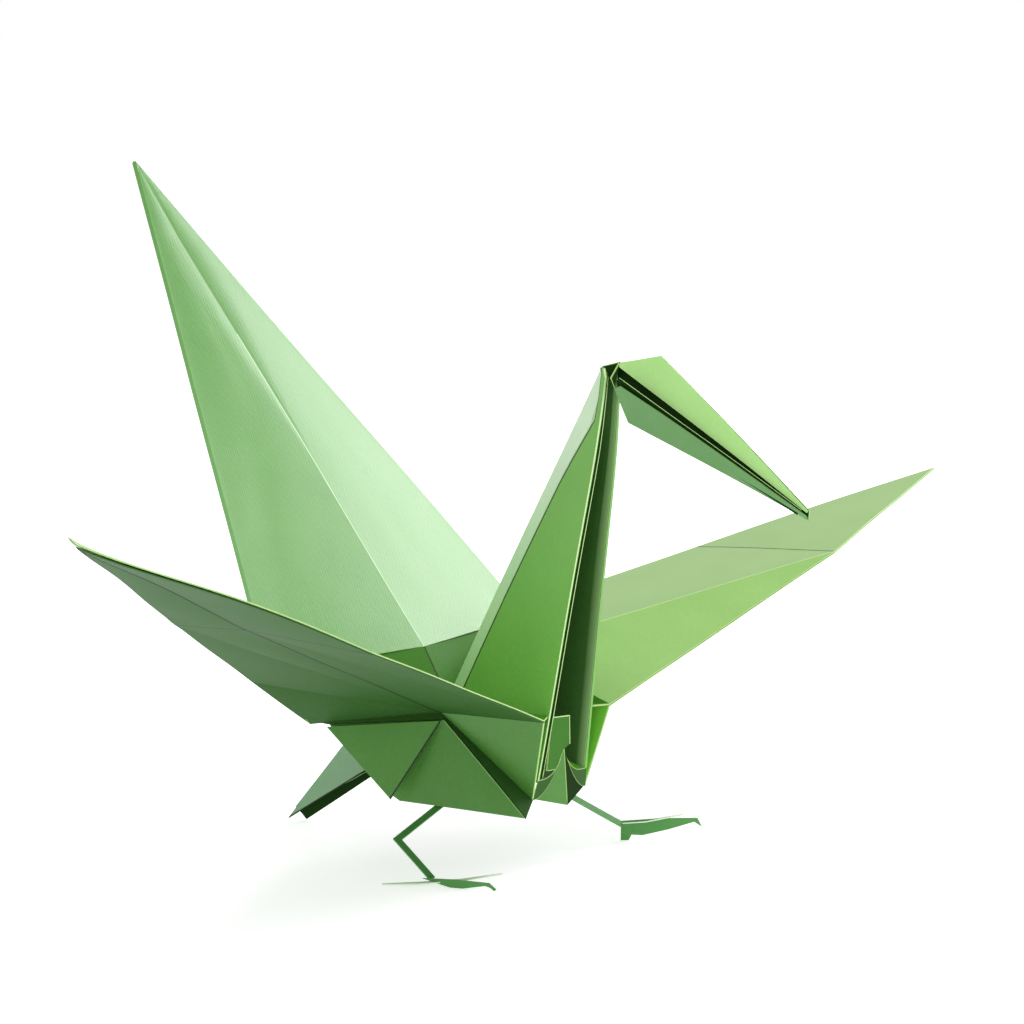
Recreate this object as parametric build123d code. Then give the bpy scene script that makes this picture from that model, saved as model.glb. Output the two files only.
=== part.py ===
"""Origami crane of stiff green paper, standing on two paper legs and its tail.

The bird is one folded sheet: an upright fan (the middle of the sheet drawn out to a flat point), a neck
and head folded to an M in section, two raised wings of two layers each, the belly flaps and a short tail.
The legs and feet are strips cut from the same paper. +X is forward, +Y the bird's left, +Z up, and the
origin is on the ground, under the middle of the bird.

Every folded piece is written as its mid surface: named points joined into flat facets. thick_sheet gives
that surface its thickness, with a mitred crease at every fold and a cut edge all round.
"""
from build123d import *
import os
import numpy as np

# ---- driving dimensions, mm -------------------------------------------------------------------------
sheet_thickness = 0.30   # the card
layer_gap = 0.30         # air between two layers that lie together at a tight fold
max_mitre = 2.0          # longest crease corner, as a multiple of the card's thickness

# upright fan
fan_tip_back = 86.0      # the fan's tip is this far behind the origin
fan_tip_height = 116.5
fan_base_height = 34.6
fan_base_back = 23.6     # the two wide corners of the fan
fan_half_width = 35.7
fan_front_bulge = 4.4    # the front crease stands forward of the line between the wide corners
fan_rear_bulge = 2.6     # and the rear crease behind it

# body
wing_root_front = 13.8   # front end of the wing root, ahead of the origin
wing_root_half_width = 9.4
wing_root_height = 27.0
crease_root_back = 7.6   # where the wing's long crease starts
crease_root_height = 25.4
left_crease_rise = 8.2   # the left wing's upper layer is lifted at its root
root_rear_back = 28.4    # rear end of the wing root
root_rear_half_width = 20.0
root_rear_height = 23.2
spine_foot = (-14.0, 25.8)        # foot of the neck's spine, x and z
rump_foot = (-33.0, 20.4)         # where the rump meets the tail's spine, x and z
chest_foot = (9.9, 7.4, 12.6)     # lower corner of the front side panel: x, half width, z
right_belly_front = (12.0, 12.0, 10.5)   # front corner of the flared belly panel's hem
left_belly_front = (5.0, 9.8, 10.8)      # the left panel is narrower
belly_rear = (-13.6, 13.8, 10.4)         # rear corner of the hem
belly_tuck_share = 0.8            # the panel's rear end is tucked in at this share of the wing root
flap_tip = (-13.4, 16.4, 11.2)    # lower corner of the flap that lies over it
flap_rear_share = 0.85            # and the flap ends at this share, measured from the wing's crease
deck_tuck = (0.6, 0.5)            # the deck's front corner stands this far inside the neck's fold, x and y

# wings
wing_lead_kink = (23.0, 65.3)     # x and half span of the leading edge where the wing is bent across
wing_lead_height = 47.4
wing_trail_kink = (-11.6, 72.0)
right_trail_height = 49.6
left_trail_height = 44.4
wing_tip_forward = 11.2
wing_half_span = 119.0
right_tip_height = 70.5           # the right wing's outer panel is bent further up than the left's
left_tip_height = 56.4
wing_corner = (-27.2, 36.2)       # where the trailing edge meets the fan's wide corner
right_corner_height = 33.4
left_corner_height = 35.8
crease_share = 0.37               # the right wing's long crease crosses the bend at this share of it
under_tip_set_back = 3.9          # the right wing's under layer stops this far short of the tip

# neck: fold line of the open front side, and the spine
neck_fold_foot = (10.5, 6.8, 16.0)   # x, half width, z
neck_fold_top = (20.2, 2.75, 75.0)
head_fold = (20.9, 1.9, 84.6)
spine_top = (18.9, 86.2)             # x and z
spine_flat = 4.0                     # the spine's pale strip: its depth along X
spine_flat_half_width = 1.5
strip_overlap = 0.8                  # the outer layer starts this far ahead of the strip's front line
bend_flat_half_width = 1.2           # the strip narrows where the neck starts to bend
top_flat = (0.7, 0.75)               # and at the top: its depth and half width
lining_inset = 1.7                   # the lining's cut edge lies this far inside the fold
lining_step_back = 0.3               # and this far behind it
lining_depth = 0.45                  # the lining reaches back this share of the way to the spine
lining_top_share = 0.7               # near the top it takes at most this share of the half width

# head and beak
crest = (29.3, 2.2, 88.0)            # highest corner of the head, on the left side
brow = (21.4, 1.6, 86.6)
jaw = (24.0, 77.4)                   # x and z of the throat corner
cheek = (31.5, 1.6, 79.6)            # point on the right side's lower top edge
throat_ahead = 1.2                   # the throat line's middle corner is this far ahead of the crest
head_root_step = (-0.4, 0.3)         # x and z from the neck's fold to the head's right root corner
jaw_root_step = (-1.4, 0.8)          # x and z from the jaw to the head's throat root
brow_root_step = -0.5
beak_tip = (60.0, 64.5)              # x and z
beak_tip_half_width = 0.55
beak_tip_heights = (0.3, -0.9, 0.8)  # right edge, throat and left edge, above and below the tip
lip_share = 0.85                     # the layers turned down inside end at this share of the beak
right_lip_steps = ((0.4, 0.2), (0.6, -3.0))   # x and z of its root corners from the neck's fold
right_lip_depths = (2.4, 0.8)        # at the cheek and at its end
left_lip_steps = (-0.2, -0.8)        # x of its outer root corner, z of its inner one, from the brow
left_lip_depths = (6.4, 1.2)         # at the crest and at its end
lip_slants = (0.6, 0.5, 0.3)         # how far the turned-down layers lean in: cheek, far end, and gap there

# front of the chest
chest_apex = (10.9, 20.4)            # x and z where the two arched gussets meet
keel_foot = (11.6, 10.8)
gusset_upper_power = 3.2
gusset_lower_power = 1.9
arch_steps = 6                       # straight pieces each curved fold is made of

# tail
tail_root_step = (0.8, 1.0)          # x and z from the rump's foot to the tail's spine
tail_root_folds = ((-19.0, 6.6, 16.6), (-19.0, 6.6, 15.0))    # right, left
tail_mid = (-37.4, 15.2)             # spine, x and z
tail_mid_folds = ((-29.4, 3.2, 12.4), (-29.4, 3.2, 12.3))     # right, left
tail_tip = (-50.2, 0.3, 0.05)        # the right half ends in a point on the spine, x, half width, z
tail_left_tip = (-47.0, 0.7, 0.05)   # the left half in one of its own
tail_notch_share = 0.85              # the notch between them starts at this share of the spine

# legs and feet; each leg is tucked up behind the hem of its belly panel
leg_width = 1.15
hem_clearances = {-1: 0.0, 1: 0.16}   # from each leg's upper edge to the hem above it, by side
right_hip_share = 0.711              # where on the hem the right leg starts, from its front corner
left_hip_share = 0.02
right_hip_tuck = 1.8                 # length of leg hidden behind the hem
left_hip_tuck = 0.7
right_knee = (-7.0, 22.6, 6.2)
right_ankle = (1.6, 24.0, 1.0)
left_ankle = (7.6, 21.6, 3.1)
left_leg_square_to = (1.0, 0.3, 0.4)
ankle_clearance = 0.455              # from the right leg's edge to the middle of its foot's leaves
left_ankle_clearance = 0.46
right_foot_beside = 61.0             # the foot stands beside the ankle in this direction, degrees from +X
left_foot_beside = 71.6
right_flat_heading = 36.0            # direction of each leaf, degrees outward from +X
right_edge_heading = 18.0
left_flat_heading = 40.0
left_edge_heading = 40.0

# leaves that lie flat: distance ahead of the ankle, height, width
right_flat_rows = [(-8.2, 0.25, 0.3), (-2.0, 0.45, 1.2), (5.0, 1.0, 1.2), (11.9, 2.1, 0.3)]
left_flat_rows = [(-0.8, 3.1, 0.6), (3.5, 3.4, 1.2), (9.9, 4.5, 0.3)]

# leaves that stand on edge, each ending in a claw: distance ahead of the ankle, height
right_edge_outline = [
    (-1.6, 1.2), (1.2, 0.5), (3.4, 0.0), (5.6, 0.0), (9.6, 0.5), (11.2, 0.1), (10.3, 1.25), (4.0, 1.45),
]
left_edge_outline = [
    (-0.9, 3.5), (-0.9, 0.0), (0.5, 0.0), (1.0, 1.0), (3.0, 0.9), (7.5, 1.9), (12.0, 3.2), (13.4, 2.3),
    (12.6, 3.9), (6.0, 3.9),
]


def mirrored(point, side):
    """The point (x, half width, z) on the right side (-1) or the left side (+1) of the bird."""
    return (point[0], side * point[1], point[2])


def raised(point, rise):
    """The same point, higher by rise."""
    return (point[0], point[1], point[2] + rise)


def between(start, end, share):
    """The point at this share of the way from start to end."""
    return tuple(a + share * (b - a) for a, b in zip(start, end))


def towards(start, end, length):
    """The point this far from start on the way to end."""
    return between(start, end, length / np.linalg.norm(np.subtract(end, start)))


def thick_sheet(facets, thickness=sheet_thickness):
    """Closed solid of a folded sheet, from the facets of its mid surface."""
    index, points, triangles = {}, [], []
    for facet in facets:
        corners = []
        for corner in facet:
            key = tuple(round(value, 4) for value in corner)
            if key not in index:
                index[key] = len(points)
                points.append(np.array(key))
            corners.append(index[key])
        for second, third in zip(corners[1:-1], corners[2:]):
            triangles.append((corners[0], second, third))
    triangles = turned_alike(triangles)
    offsets = corner_offsets(points, triangles, thickness)
    upper = [Vector(*(p + d)) for p, d in zip(points, offsets)]
    lower = [Vector(*(p - d)) for p, d in zip(points, offsets)]
    faces = []
    directed = {edge for t in triangles for edge in edges_of(t)}
    for a, b, c in triangles:
        faces.append(flat_face(upper[a], upper[b], upper[c]))
        faces.append(flat_face(lower[c], lower[b], lower[a]))
    for a, b in sorted(directed):
        if (b, a) not in directed:
            faces.append(flat_face(upper[b], upper[a], lower[a]))
            faces.append(flat_face(upper[b], lower[a], lower[b]))
    return Solid(Shell(faces))


def edges_of(triangle):
    """The three directed edges of a triangle."""
    a, b, c = triangle
    return ((a, b), (b, c), (c, a))


def turned_alike(triangles):
    """The triangles of one sheet, all turned the same way up."""
    waiting = dict(enumerate(triangles))
    turned = []
    while waiting:
        fresh = [waiting.pop(min(waiting))]
        while fresh:
            current = fresh.pop()
            turned.append(current)
            for a, b in edges_of(current):
                for key, other in list(waiting.items()):
                    if (b, a) in edges_of(other):
                        fresh.append(waiting.pop(key))
                    elif (a, b) in edges_of(other):
                        fresh.append(tuple(reversed(waiting.pop(key))))
    return turned


def corner_offsets(points, triangles, thickness):
    """For each corner, the step from the mid surface to the sheet's face that suits all facets there."""
    matrices = np.zeros((len(points), 3, 3))
    sums = np.zeros((len(points), 3))
    for triangle in triangles:
        a, b, c = (points[i] for i in triangle)
        normal = np.cross(b - a, c - a)
        normal = normal / np.linalg.norm(normal)
        for i, (p, q, r) in zip(triangle, ((a, b, c), (b, c, a), (c, a, b))):
            u, v = q - p, r - p
            angle = np.arccos(np.clip(u @ v / np.linalg.norm(u) / np.linalg.norm(v), -1, 1))
            matrices[i] += angle * np.outer(normal, normal)
            sums[i] += angle * normal
    offsets = []
    for matrix, total in zip(matrices, sums):
        damping = 0.02 * np.trace(matrix)
        average = total / np.linalg.norm(total)
        step = np.linalg.solve(matrix + damping * np.eye(3), (total + damping * average) * thickness / 2)
        length = np.linalg.norm(step)
        offsets.append(step * min(1.0, max_mitre * thickness / length))
    return offsets


def flat_face(*corners):
    """A flat face with these corners."""
    return Face(Wire.make_polygon(corners, close=True))


# ---- the body with its fan and wings ----------------------------------------------------------------
def wing_points(side):
    """Corners of one wing's upper layer, by name."""
    right = side < 0
    kink_height = right_trail_height if right else left_trail_height
    corner_height = right_corner_height if right else left_corner_height
    tip_height = right_tip_height if right else left_tip_height
    crease_height = crease_root_height if right else crease_root_height + left_crease_rise
    points = {
        "front": (wing_root_front, side * wing_root_half_width, wing_root_height),
        "crease": (-crease_root_back, side * wing_root_half_width, crease_height),
        "lead": (wing_lead_kink[0], side * wing_lead_kink[1], wing_lead_height),
        "trail": (wing_trail_kink[0], side * wing_trail_kink[1], kink_height),
        "corner": (wing_corner[0], side * wing_corner[1], corner_height),
        "tip": (wing_tip_forward, side * wing_half_span, tip_height),
    }
    points["cross"] = between(points["trail"], points["lead"], crease_share)
    return points


def wing_layer(p, right):
    """Facets of one wing layer, from the root to the tip."""
    if right:
        inner = [
            (p["front"], p["crease"], p["cross"]),
            (p["front"], p["cross"], p["lead"]),
            (p["crease"], p["corner"], p["trail"]),
            (p["crease"], p["trail"], p["cross"]),
        ]
        return inner + [(p["lead"], p["cross"], p["tip"]), (p["cross"], p["trail"], p["tip"])]
    inner = [
        (p["front"], p["crease"], p["lead"]),
        (p["crease"], p["trail"], p["lead"]),
        (p["crease"], p["corner"], p["trail"]),
    ]
    return inner + [(p["lead"], p["trail"], p["tip"])]


def deck_front(side):
    """Where the deck's front corner runs into the neck's outer layer."""
    share = (wing_root_height - neck_fold_foot[2]) / (neck_fold_top[2] - neck_fold_foot[2])
    x, half_width, z = between(neck_fold_foot, neck_fold_top, share)
    return (x - deck_tuck[0], side * (half_width - deck_tuck[1]), z)


def crease_root(side):
    """Where the lower wing layer's crease meets the side of the body."""
    return (-crease_root_back, side * wing_root_half_width, crease_root_height - sheet_thickness - layer_gap)


def rear_root(side):
    """Rear end of the wing root."""
    return (-root_rear_back, side * root_rear_half_width, root_rear_height)


def belly_front(side):
    """Front corner of the belly panel's hem."""
    return mirrored(right_belly_front if side < 0 else left_belly_front, side)


def body_side(side):
    """Facets of one half of the body: fan, deck, both wing layers, side and rump."""
    right = side < 0
    pitch = sheet_thickness + layer_gap
    upper = wing_points(side)
    lower = {name: raised(point, -pitch) for name, point in upper.items()}
    lower["crease"] = crease_root(side)
    if right:
        lower["tip"] = towards(lower["tip"], lower["cross"], under_tip_set_back)
    fan_front_tip = (-fan_tip_back, 0, fan_tip_height)
    fan_rear_tip = (-fan_tip_back - pitch, 0, fan_tip_height)
    fan_front = (fan_front_bulge - fan_base_back, 0, fan_base_height)
    fan_rear = (-fan_base_back - pitch - fan_rear_bulge, 0, fan_base_height)
    fan_corner = (-fan_base_back, side * fan_half_width, fan_base_height)
    fan_rear_corner = (-fan_base_back - pitch, side * fan_half_width, fan_base_height)
    foot = (spine_foot[0], 0, spine_foot[1])
    rear = rear_root(side)
    tuck = between(lower["crease"], rear, belly_tuck_share)
    rump = (rump_foot[0], 0, rump_foot[1])
    fan = [
        (fan_front_tip, fan_front, fan_corner),
        (fan_front_tip, fan_corner, fan_rear_corner, fan_rear_tip),
        (fan_rear_tip, fan_rear_corner, fan_rear),
    ]
    deck = [
        (fan_front, foot, fan_corner),
        (foot, upper["crease"], fan_corner),
        (foot, upper["front"], upper["crease"]),
        (foot, deck_front(side), upper["front"]),
        (fan_corner, upper["crease"], upper["corner"]),
    ]
    trailing_edge = [
        (upper["corner"], lower["corner"], lower["trail"], upper["trail"]),
        (upper["trail"], lower["trail"], lower["tip"], upper["tip"]),
    ]
    rump_panels = [
        (fan_rear, fan_rear_corner, rear),
        (fan_rear_corner, fan_corner, upper["corner"]),
        (fan_rear_corner, upper["corner"], rear),
        (upper["corner"], lower["corner"], rear),
        (fan_rear, rear, rump),
    ]
    chest = mirrored(chest_foot, side)
    front_corner = belly_front(side)
    rear_corner = mirrored(belly_rear, side)
    side_panels = [
        (lower["crease"], lower["front"], chest),
        (lower["crease"], chest, front_corner),
        (lower["crease"], front_corner, rear_corner),
        (lower["crease"], rear_corner, tuck),
        (lower["crease"], tuck, lower["corner"]),
        (tuck, rear, lower["corner"]),
    ]
    wing = wing_layer(upper, right) + trailing_edge + wing_layer(lower, right)
    return fan + deck + wing + rump_panels + side_panels


def over_flap(side):
    """Facets of the pointed flap that hangs from the wing root over the rear of the belly panel."""
    crease = crease_root(side)
    return [(crease, between(crease, rear_root(side), flap_rear_share), mirrored(flap_tip, side))]


# ---- pleated points: neck, head and tail -------------------------------------------------------------
def pleated(stations):
    """Facets between neighbouring stations, each a list of as many corners across the strip."""
    facets = []
    for near, far in zip(stations[:-1], stations[1:]):
        for i in range(len(near) - 1):
            facets.append((near[i], near[i + 1], far[i + 1]))
            facets.append((near[i], far[i + 1], far[i]))
    return facets


def neck_station(spine, fold, flat_depth, flat_half_width):
    """Corners across the neck: cut edge, front fold, spine strip, and the same again on the other side."""
    pitch = sheet_thickness + layer_gap
    half = []
    slope = (fold[2] - spine[1]) / (fold[0] - spine[0])
    flat_x = spine[0] + flat_depth
    cut_x = flat_x + strip_overlap
    half.append((cut_x, flat_half_width + pitch, spine[1] + slope * (cut_x - spine[0])))
    half.append((fold[0], fold[1], fold[2]))
    half.append((fold[0], fold[1] - pitch, fold[2]))
    half.append((flat_x, flat_half_width, spine[1] + slope * flat_x - slope * spine[0]))
    right = [mirrored(point, -1) for point in half]
    left = [mirrored(point, 1) for point in reversed(half)]
    return right + [(spine[0], 0, spine[1])] + left


def spine_at(height):
    """X and Z of the neck's spine at this height."""
    share = (height - spine_foot[1]) / (spine_top[1] - spine_foot[1])
    return (spine_foot[0] + share * (spine_top[0] - spine_foot[0]), height)


def neck():
    """Facets of the neck."""
    throat_share = (neck_fold_top[2] - neck_fold_foot[2]) / (head_fold[2] - neck_fold_foot[2])
    bend = spine_at(spine_foot[1] + throat_share * (spine_top[1] - spine_foot[1]))
    return pleated([
        neck_station(spine_foot, neck_fold_foot, spine_flat, spine_flat_half_width),
        neck_station(bend, neck_fold_top, spine_flat, bend_flat_half_width),
        neck_station(spine_top, head_fold, *top_flat),
    ])


def neck_lining():
    """Facets of the strip tucked inside the right half of the neck, with its cut edge to the front."""
    pitch = sheet_thickness + layer_gap
    folds = (neck_fold_foot, neck_fold_top, head_fold)
    spines = (spine_foot, spine_at(neck_fold_top[2]), spine_top)
    rows = []
    for fold, spine in zip(folds, spines):
        width = min(lining_inset, fold[1] * lining_top_share)
        front = (fold[0] - lining_step_back, width - fold[1], fold[2])
        x, z = between((fold[0], fold[2]), spine, lining_depth)
        rows.append([front, (x, (pitch - fold[1]) * (1 - lining_depth), z)])
    return pleated(rows)


def head():
    """Facets of the head and beak: a V in section, open upwards and higher on the left."""
    root = [
        (head_fold[0] + head_root_step[0], -head_fold[1], head_fold[2] + head_root_step[1]),
        (jaw[0] + jaw_root_step[0], 0, jaw[1] + jaw_root_step[1]),
        (brow[0] + brow_root_step, head_fold[1], brow[2]),
    ]
    throat_x = crest[0] + throat_ahead
    middle = [mirrored(cheek, -1), (throat_x, 0, throat_height(throat_x)), crest]
    return pleated([root, middle, beak_end()])


def beak_end():
    """Right edge, throat and left edge of the beak at its tip."""
    right, throat, left = beak_tip_heights
    return [
        (beak_tip[0], -beak_tip_half_width, beak_tip[1] + right),
        (beak_tip[0], 0, beak_tip[1] + throat),
        (beak_tip[0], beak_tip_half_width, beak_tip[1] + left),
    ]


def throat_height(x):
    """Height of the beak's throat line at this x."""
    share = (x - jaw[0]) / (beak_tip[0] - jaw[0])
    return jaw[1] + share * (beak_tip[1] + beak_tip_heights[1] - jaw[1])


def head_lips():
    """Facets of the two layers turned down inside the beak, one list for each side."""
    pitch = sheet_thickness + layer_gap
    cheek_slant, end_slant, end_gap = lip_slants
    right_tip, _, left_tip = beak_end()
    right_end = between(mirrored(cheek, -1), right_tip, lip_share)
    left_end = between(crest, left_tip, lip_share)
    outer_step, inner_step = right_lip_steps
    right = [
        [(head_fold[0] + outer_step[0], -head_fold[1], head_fold[2] + outer_step[1]),
         (head_fold[0] + inner_step[0], pitch - head_fold[1], head_fold[2] + inner_step[1])],
        [mirrored(cheek, -1), (cheek[0], pitch - cheek[1] * cheek_slant, cheek[2] - right_lip_depths[0])],
        [right_end,
         (right_end[0], pitch * end_gap + right_end[1] * end_slant, right_end[2] - right_lip_depths[1])],
    ]
    left = [
        [(brow[0] + left_lip_steps[0], head_fold[1], brow[2]),
         (brow[0], head_fold[1] - pitch, brow[2] + left_lip_steps[1])],
        [crest, (crest[0], crest[1] * end_slant - pitch, crest[2] - left_lip_depths[0])],
        [left_end, (left_end[0], 0, left_end[2] - left_lip_depths[1])],
    ]
    return [pleated(right), pleated(left)]


# ---- chest: arched gussets and keel ---------------------------------------------------------------------
def arch(foot, power, side):
    """Points of a curve from the side of the chest up to its apex."""
    points = []
    for i in range(arch_steps + 1):
        share = i / arch_steps
        height = foot[2] + (chest_apex[1] - foot[2]) * share ** power
        points.append((foot[0] + (chest_apex[0] - foot[0]) * share, side * foot[1] * (1 - share), height))
    return points


def chest(side):
    """Facets of one arched gusset and one side of the keel below it."""
    outer = arch(neck_fold_foot, gusset_upper_power, side)
    inner = arch(chest_foot, gusset_lower_power, side)
    gusset = pleated([outer[:-1], inner[:-1]]) + [(outer[-2], outer[-1], inner[-2])]
    keel = [(inner[i], inner[i + 1], (keel_foot[0], 0, keel_foot[1])) for i in range(1, len(inner) - 1)]
    return gusset + keel


# ---- tail ---------------------------------------------------------------------------------------------
def tail():
    """Facets of the tail: a V in section, open downwards, with a pointed end on each half."""
    root_right, root_left = mirrored(tail_root_folds[0], -1), mirrored(tail_root_folds[1], 1)
    mid_right, mid_left = mirrored(tail_mid_folds[0], -1), mirrored(tail_mid_folds[1], 1)
    root_spine = (rump_foot[0] + tail_root_step[0], 0, rump_foot[1] + tail_root_step[1])
    mid_spine = (tail_mid[0], 0, tail_mid[1])
    tip = mirrored(tail_tip, -1)
    left_tip = mirrored(tail_left_tip, 1)
    notch = between(mid_spine, tip, tail_notch_share)
    root = pleated([[root_right, root_spine, root_left], [mid_right, mid_spine, mid_left]])
    return root + [(mid_right, mid_spine, notch), (mid_right, notch, tip), (mid_spine, mid_left, left_tip),
                   (mid_spine, left_tip, notch)]


# ---- legs and feet ------------------------------------------------------------------------------------
def cut_strip(path, width, flat_to):
    """Facets of a strip cut along a path of points, lying in the plane square to flat_to."""
    normal = Vector(*flat_to).normalized()
    points = [Vector(*p) for p in path]
    left, right = [], []
    for i, point in enumerate(points):
        ways = []
        if i > 0:
            ways.append((point - points[i - 1]).normalized())
        if i < len(points) - 1:
            ways.append((points[i + 1] - point).normalized())
        sides = [normal.cross(way).normalized() for way in ways]
        middle = sum(sides[1:], sides[0]).normalized()
        reach = width / 2 / middle.dot(sides[0])
        left.append(tuple(point + middle * reach))
        right.append(tuple(point - middle * reach))
    return [facet for i in range(len(points) - 1) for facet in
            ((left[i], left[i + 1], right[i + 1]), (left[i], right[i + 1], right[i]))]


def upright_leaf(ankle, heading, outline):
    """Facet of a leaf that stands on edge: outline gives distance ahead of the ankle, and height."""
    angle = np.radians(heading)
    x_way, y_way = np.cos(angle), np.sin(angle)
    return [(ankle[0] + ahead * x_way, ankle[1] + ahead * y_way, height) for ahead, height in outline]


def flat_leaf(ankle, heading, rows):
    """Facets of a leaf that lies flat: rows give distance ahead of the ankle, height and width."""
    angle = np.radians(heading)
    stations = []
    for ahead, height, width in rows:
        x, y = ankle[0] + ahead * np.cos(angle), ankle[1] + ahead * np.sin(angle)
        dx, dy = -np.sin(angle) * width / 2, np.cos(angle) * width / 2
        stations.append([(x - dx, y - dy, height), (x + dx, y + dy, height)])
    return pleated(stations)


def hip_under_hem(side, share, way_to, tuck):
    """Hip of a leg on its way to way_to, its upper edge a clearance under the hem of the belly panel."""
    hem = between(belly_front(side), mirrored(belly_rear, side), share)
    step = np.subtract(way_to, hem)
    steepness = np.linalg.norm(step) / np.linalg.norm(step[:2])
    under = raised(hem, -leg_width / 2 * steepness - hem_clearances[side])
    return towards(under, way_to, -tuck)


def right_leg():
    """The right leg: one strip, bent at the knee."""
    knee, ankle = mirrored(right_knee, -1), mirrored(right_ankle, -1)
    hip = hip_under_hem(-1, right_hip_share, knee, right_hip_tuck)
    across = (Vector(*knee) - Vector(*hip)).cross(Vector(*ankle) - Vector(*knee))
    return thick_sheet(cut_strip([hip, knee, ankle], leg_width, tuple(across)))


def left_leg():
    """The left leg: one straight strip."""
    ankle = mirrored(left_ankle, 1)
    hip = hip_under_hem(1, left_hip_share, ankle, left_hip_tuck)
    return thick_sheet(cut_strip([hip, ankle], leg_width, left_leg_square_to))


def beside(ankle, side, direction, clearance):
    """Where a foot stands: a clearance beyond the leg's edge, in this direction outward."""
    reach, angle = leg_width / 2 + clearance, np.radians(direction)
    return (ankle[0] + reach * np.cos(angle), side * (ankle[1] + reach * np.sin(angle)))


def fused(pieces):
    """One solid from pieces that overlap."""
    whole = pieces[0]
    for piece in pieces[1:]:
        whole = whole.fuse(piece)
    return whole


def right_foot():
    """The right foot: a flat leaf crossed by one on edge that ends in a claw."""
    ankle = beside(right_ankle, -1, right_foot_beside, ankle_clearance)
    flat = flat_leaf(ankle, right_flat_heading, right_flat_rows)
    edge = upright_leaf(ankle, right_edge_heading, right_edge_outline)
    return fused([thick_sheet(flat), thick_sheet([edge])])


def left_foot():
    """The left foot: a flat leaf, one on edge with a claw, and a spur that reaches the ground."""
    ankle = beside(left_ankle, 1, left_foot_beside, left_ankle_clearance)
    flat = flat_leaf(ankle, left_flat_heading, left_flat_rows)
    edge = upright_leaf(ankle, left_edge_heading, left_edge_outline)
    return fused([thick_sheet(flat), thick_sheet([edge])])


def folded_sheet():
    """The bird: every folded patch, joined where one sheet runs on into the next."""
    patches = [thick_sheet(body_side(-1) + body_side(1))]
    patches += [thick_sheet(over_flap(side)) for side in (-1, 1)]
    patches += [thick_sheet(facets) for facets in [neck(), neck_lining(), head()] + head_lips()]
    patches += [thick_sheet(chest(-1) + chest(1)), thick_sheet(tail())]
    return fused(patches)


os.makedirs("parts", exist_ok=True)
nodes = {
    "folded_sheet": folded_sheet(),
    "right_leg": right_leg(),
    "left_leg": left_leg(),
    "right_foot": right_foot(),
    "left_foot": left_foot(),
}
for name, solid in nodes.items():
    export_step(solid, os.path.join("parts", name + ".step"))
    box = solid.bounding_box()
    print(name, len(solid.solids()), "solid", round(solid.volume, 1), "mm3", box.min, box.max)
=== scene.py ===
# %% [markdown]
# # An origami crane in stiff green card
# The bird is one folded sheet on two cut-paper legs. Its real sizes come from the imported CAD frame,
# and everything here is the look: thin card with true thickness, folds that catch the light, a fine
# woven grain and the satin sheen of coloured card. All lengths below are in millimetres and are turned
# into Blender's metres when a mesh is made.

# %% Load the frame
import math

import bpy
import numpy as np
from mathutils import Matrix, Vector


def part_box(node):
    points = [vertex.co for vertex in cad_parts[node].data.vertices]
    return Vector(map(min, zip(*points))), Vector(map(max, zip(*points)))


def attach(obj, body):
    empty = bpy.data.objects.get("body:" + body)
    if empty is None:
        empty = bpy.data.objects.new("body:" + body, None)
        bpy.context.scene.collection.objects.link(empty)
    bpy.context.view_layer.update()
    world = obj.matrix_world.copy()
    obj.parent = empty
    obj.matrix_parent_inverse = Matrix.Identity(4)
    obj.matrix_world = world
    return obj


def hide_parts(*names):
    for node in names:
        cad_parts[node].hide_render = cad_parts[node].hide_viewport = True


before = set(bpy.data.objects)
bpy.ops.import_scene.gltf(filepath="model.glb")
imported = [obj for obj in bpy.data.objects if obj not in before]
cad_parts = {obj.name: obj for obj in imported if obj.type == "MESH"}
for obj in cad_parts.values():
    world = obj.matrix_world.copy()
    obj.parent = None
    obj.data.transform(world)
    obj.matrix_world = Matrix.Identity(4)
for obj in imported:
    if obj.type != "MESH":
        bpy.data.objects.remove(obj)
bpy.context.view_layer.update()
METRE = 1000.0                      # millimetres in a metre
sheet_low, sheet_high = (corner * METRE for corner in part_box("folded_sheet"))

# %% [markdown]
# ## Camera
# The crane is seen from its right front, a little above its back, with a long lens, so that the wings
# and the fan hardly shrink with distance. The camera is placed from an azimuth, an elevation and a
# distance, which is easier to reason about than three coordinates.

# %% Camera
camera_azimuth, camera_elevation = math.radians(37.5), math.radians(8.0)
camera_distance, camera_target = 0.650, Vector((0.0, 0.0, 0.060))
camera_data = bpy.data.cameras.new("studio_camera")
camera_data.lens, camera_data.sensor_width = 134.42, 36.0
camera = bpy.data.objects.new("studio_camera", camera_data)
bpy.context.scene.collection.objects.link(camera)
back = Vector((math.sin(camera_azimuth) * math.cos(camera_elevation),
               -math.cos(camera_azimuth) * math.cos(camera_elevation),
               math.sin(camera_elevation)))
camera.location = camera_target + back * camera_distance
camera.rotation_mode = "QUATERNION"
camera.rotation_quaternion = (-back).to_track_quat("-Z", "Y")
bpy.context.scene.camera = camera
print("camera at", [round(v, 3) for v in camera.location])

# %% [markdown]
# ## Floor and light
# Green card shows its form through soft reflections, so the studio is white all round: a pale floor and
# a pale surround, a large softbox high behind the bird on its left, which grazes the fan, and a smaller
# one overhead for the tops of the wings. The Standard view keeps the green as clean as it is painted.

# %% Studio
bpy.context.scene.view_settings.view_transform = "Standard"


def colour(red, green, blue):
    """Linear RGBA of a display colour given in 0 to 255."""
    def linear(value):
        value /= 255.0
        return value / 12.92 if value <= 0.04045 else ((value + 0.055) / 1.055) ** 2.4
    return (linear(red), linear(green), linear(blue), 1.0)


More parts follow.
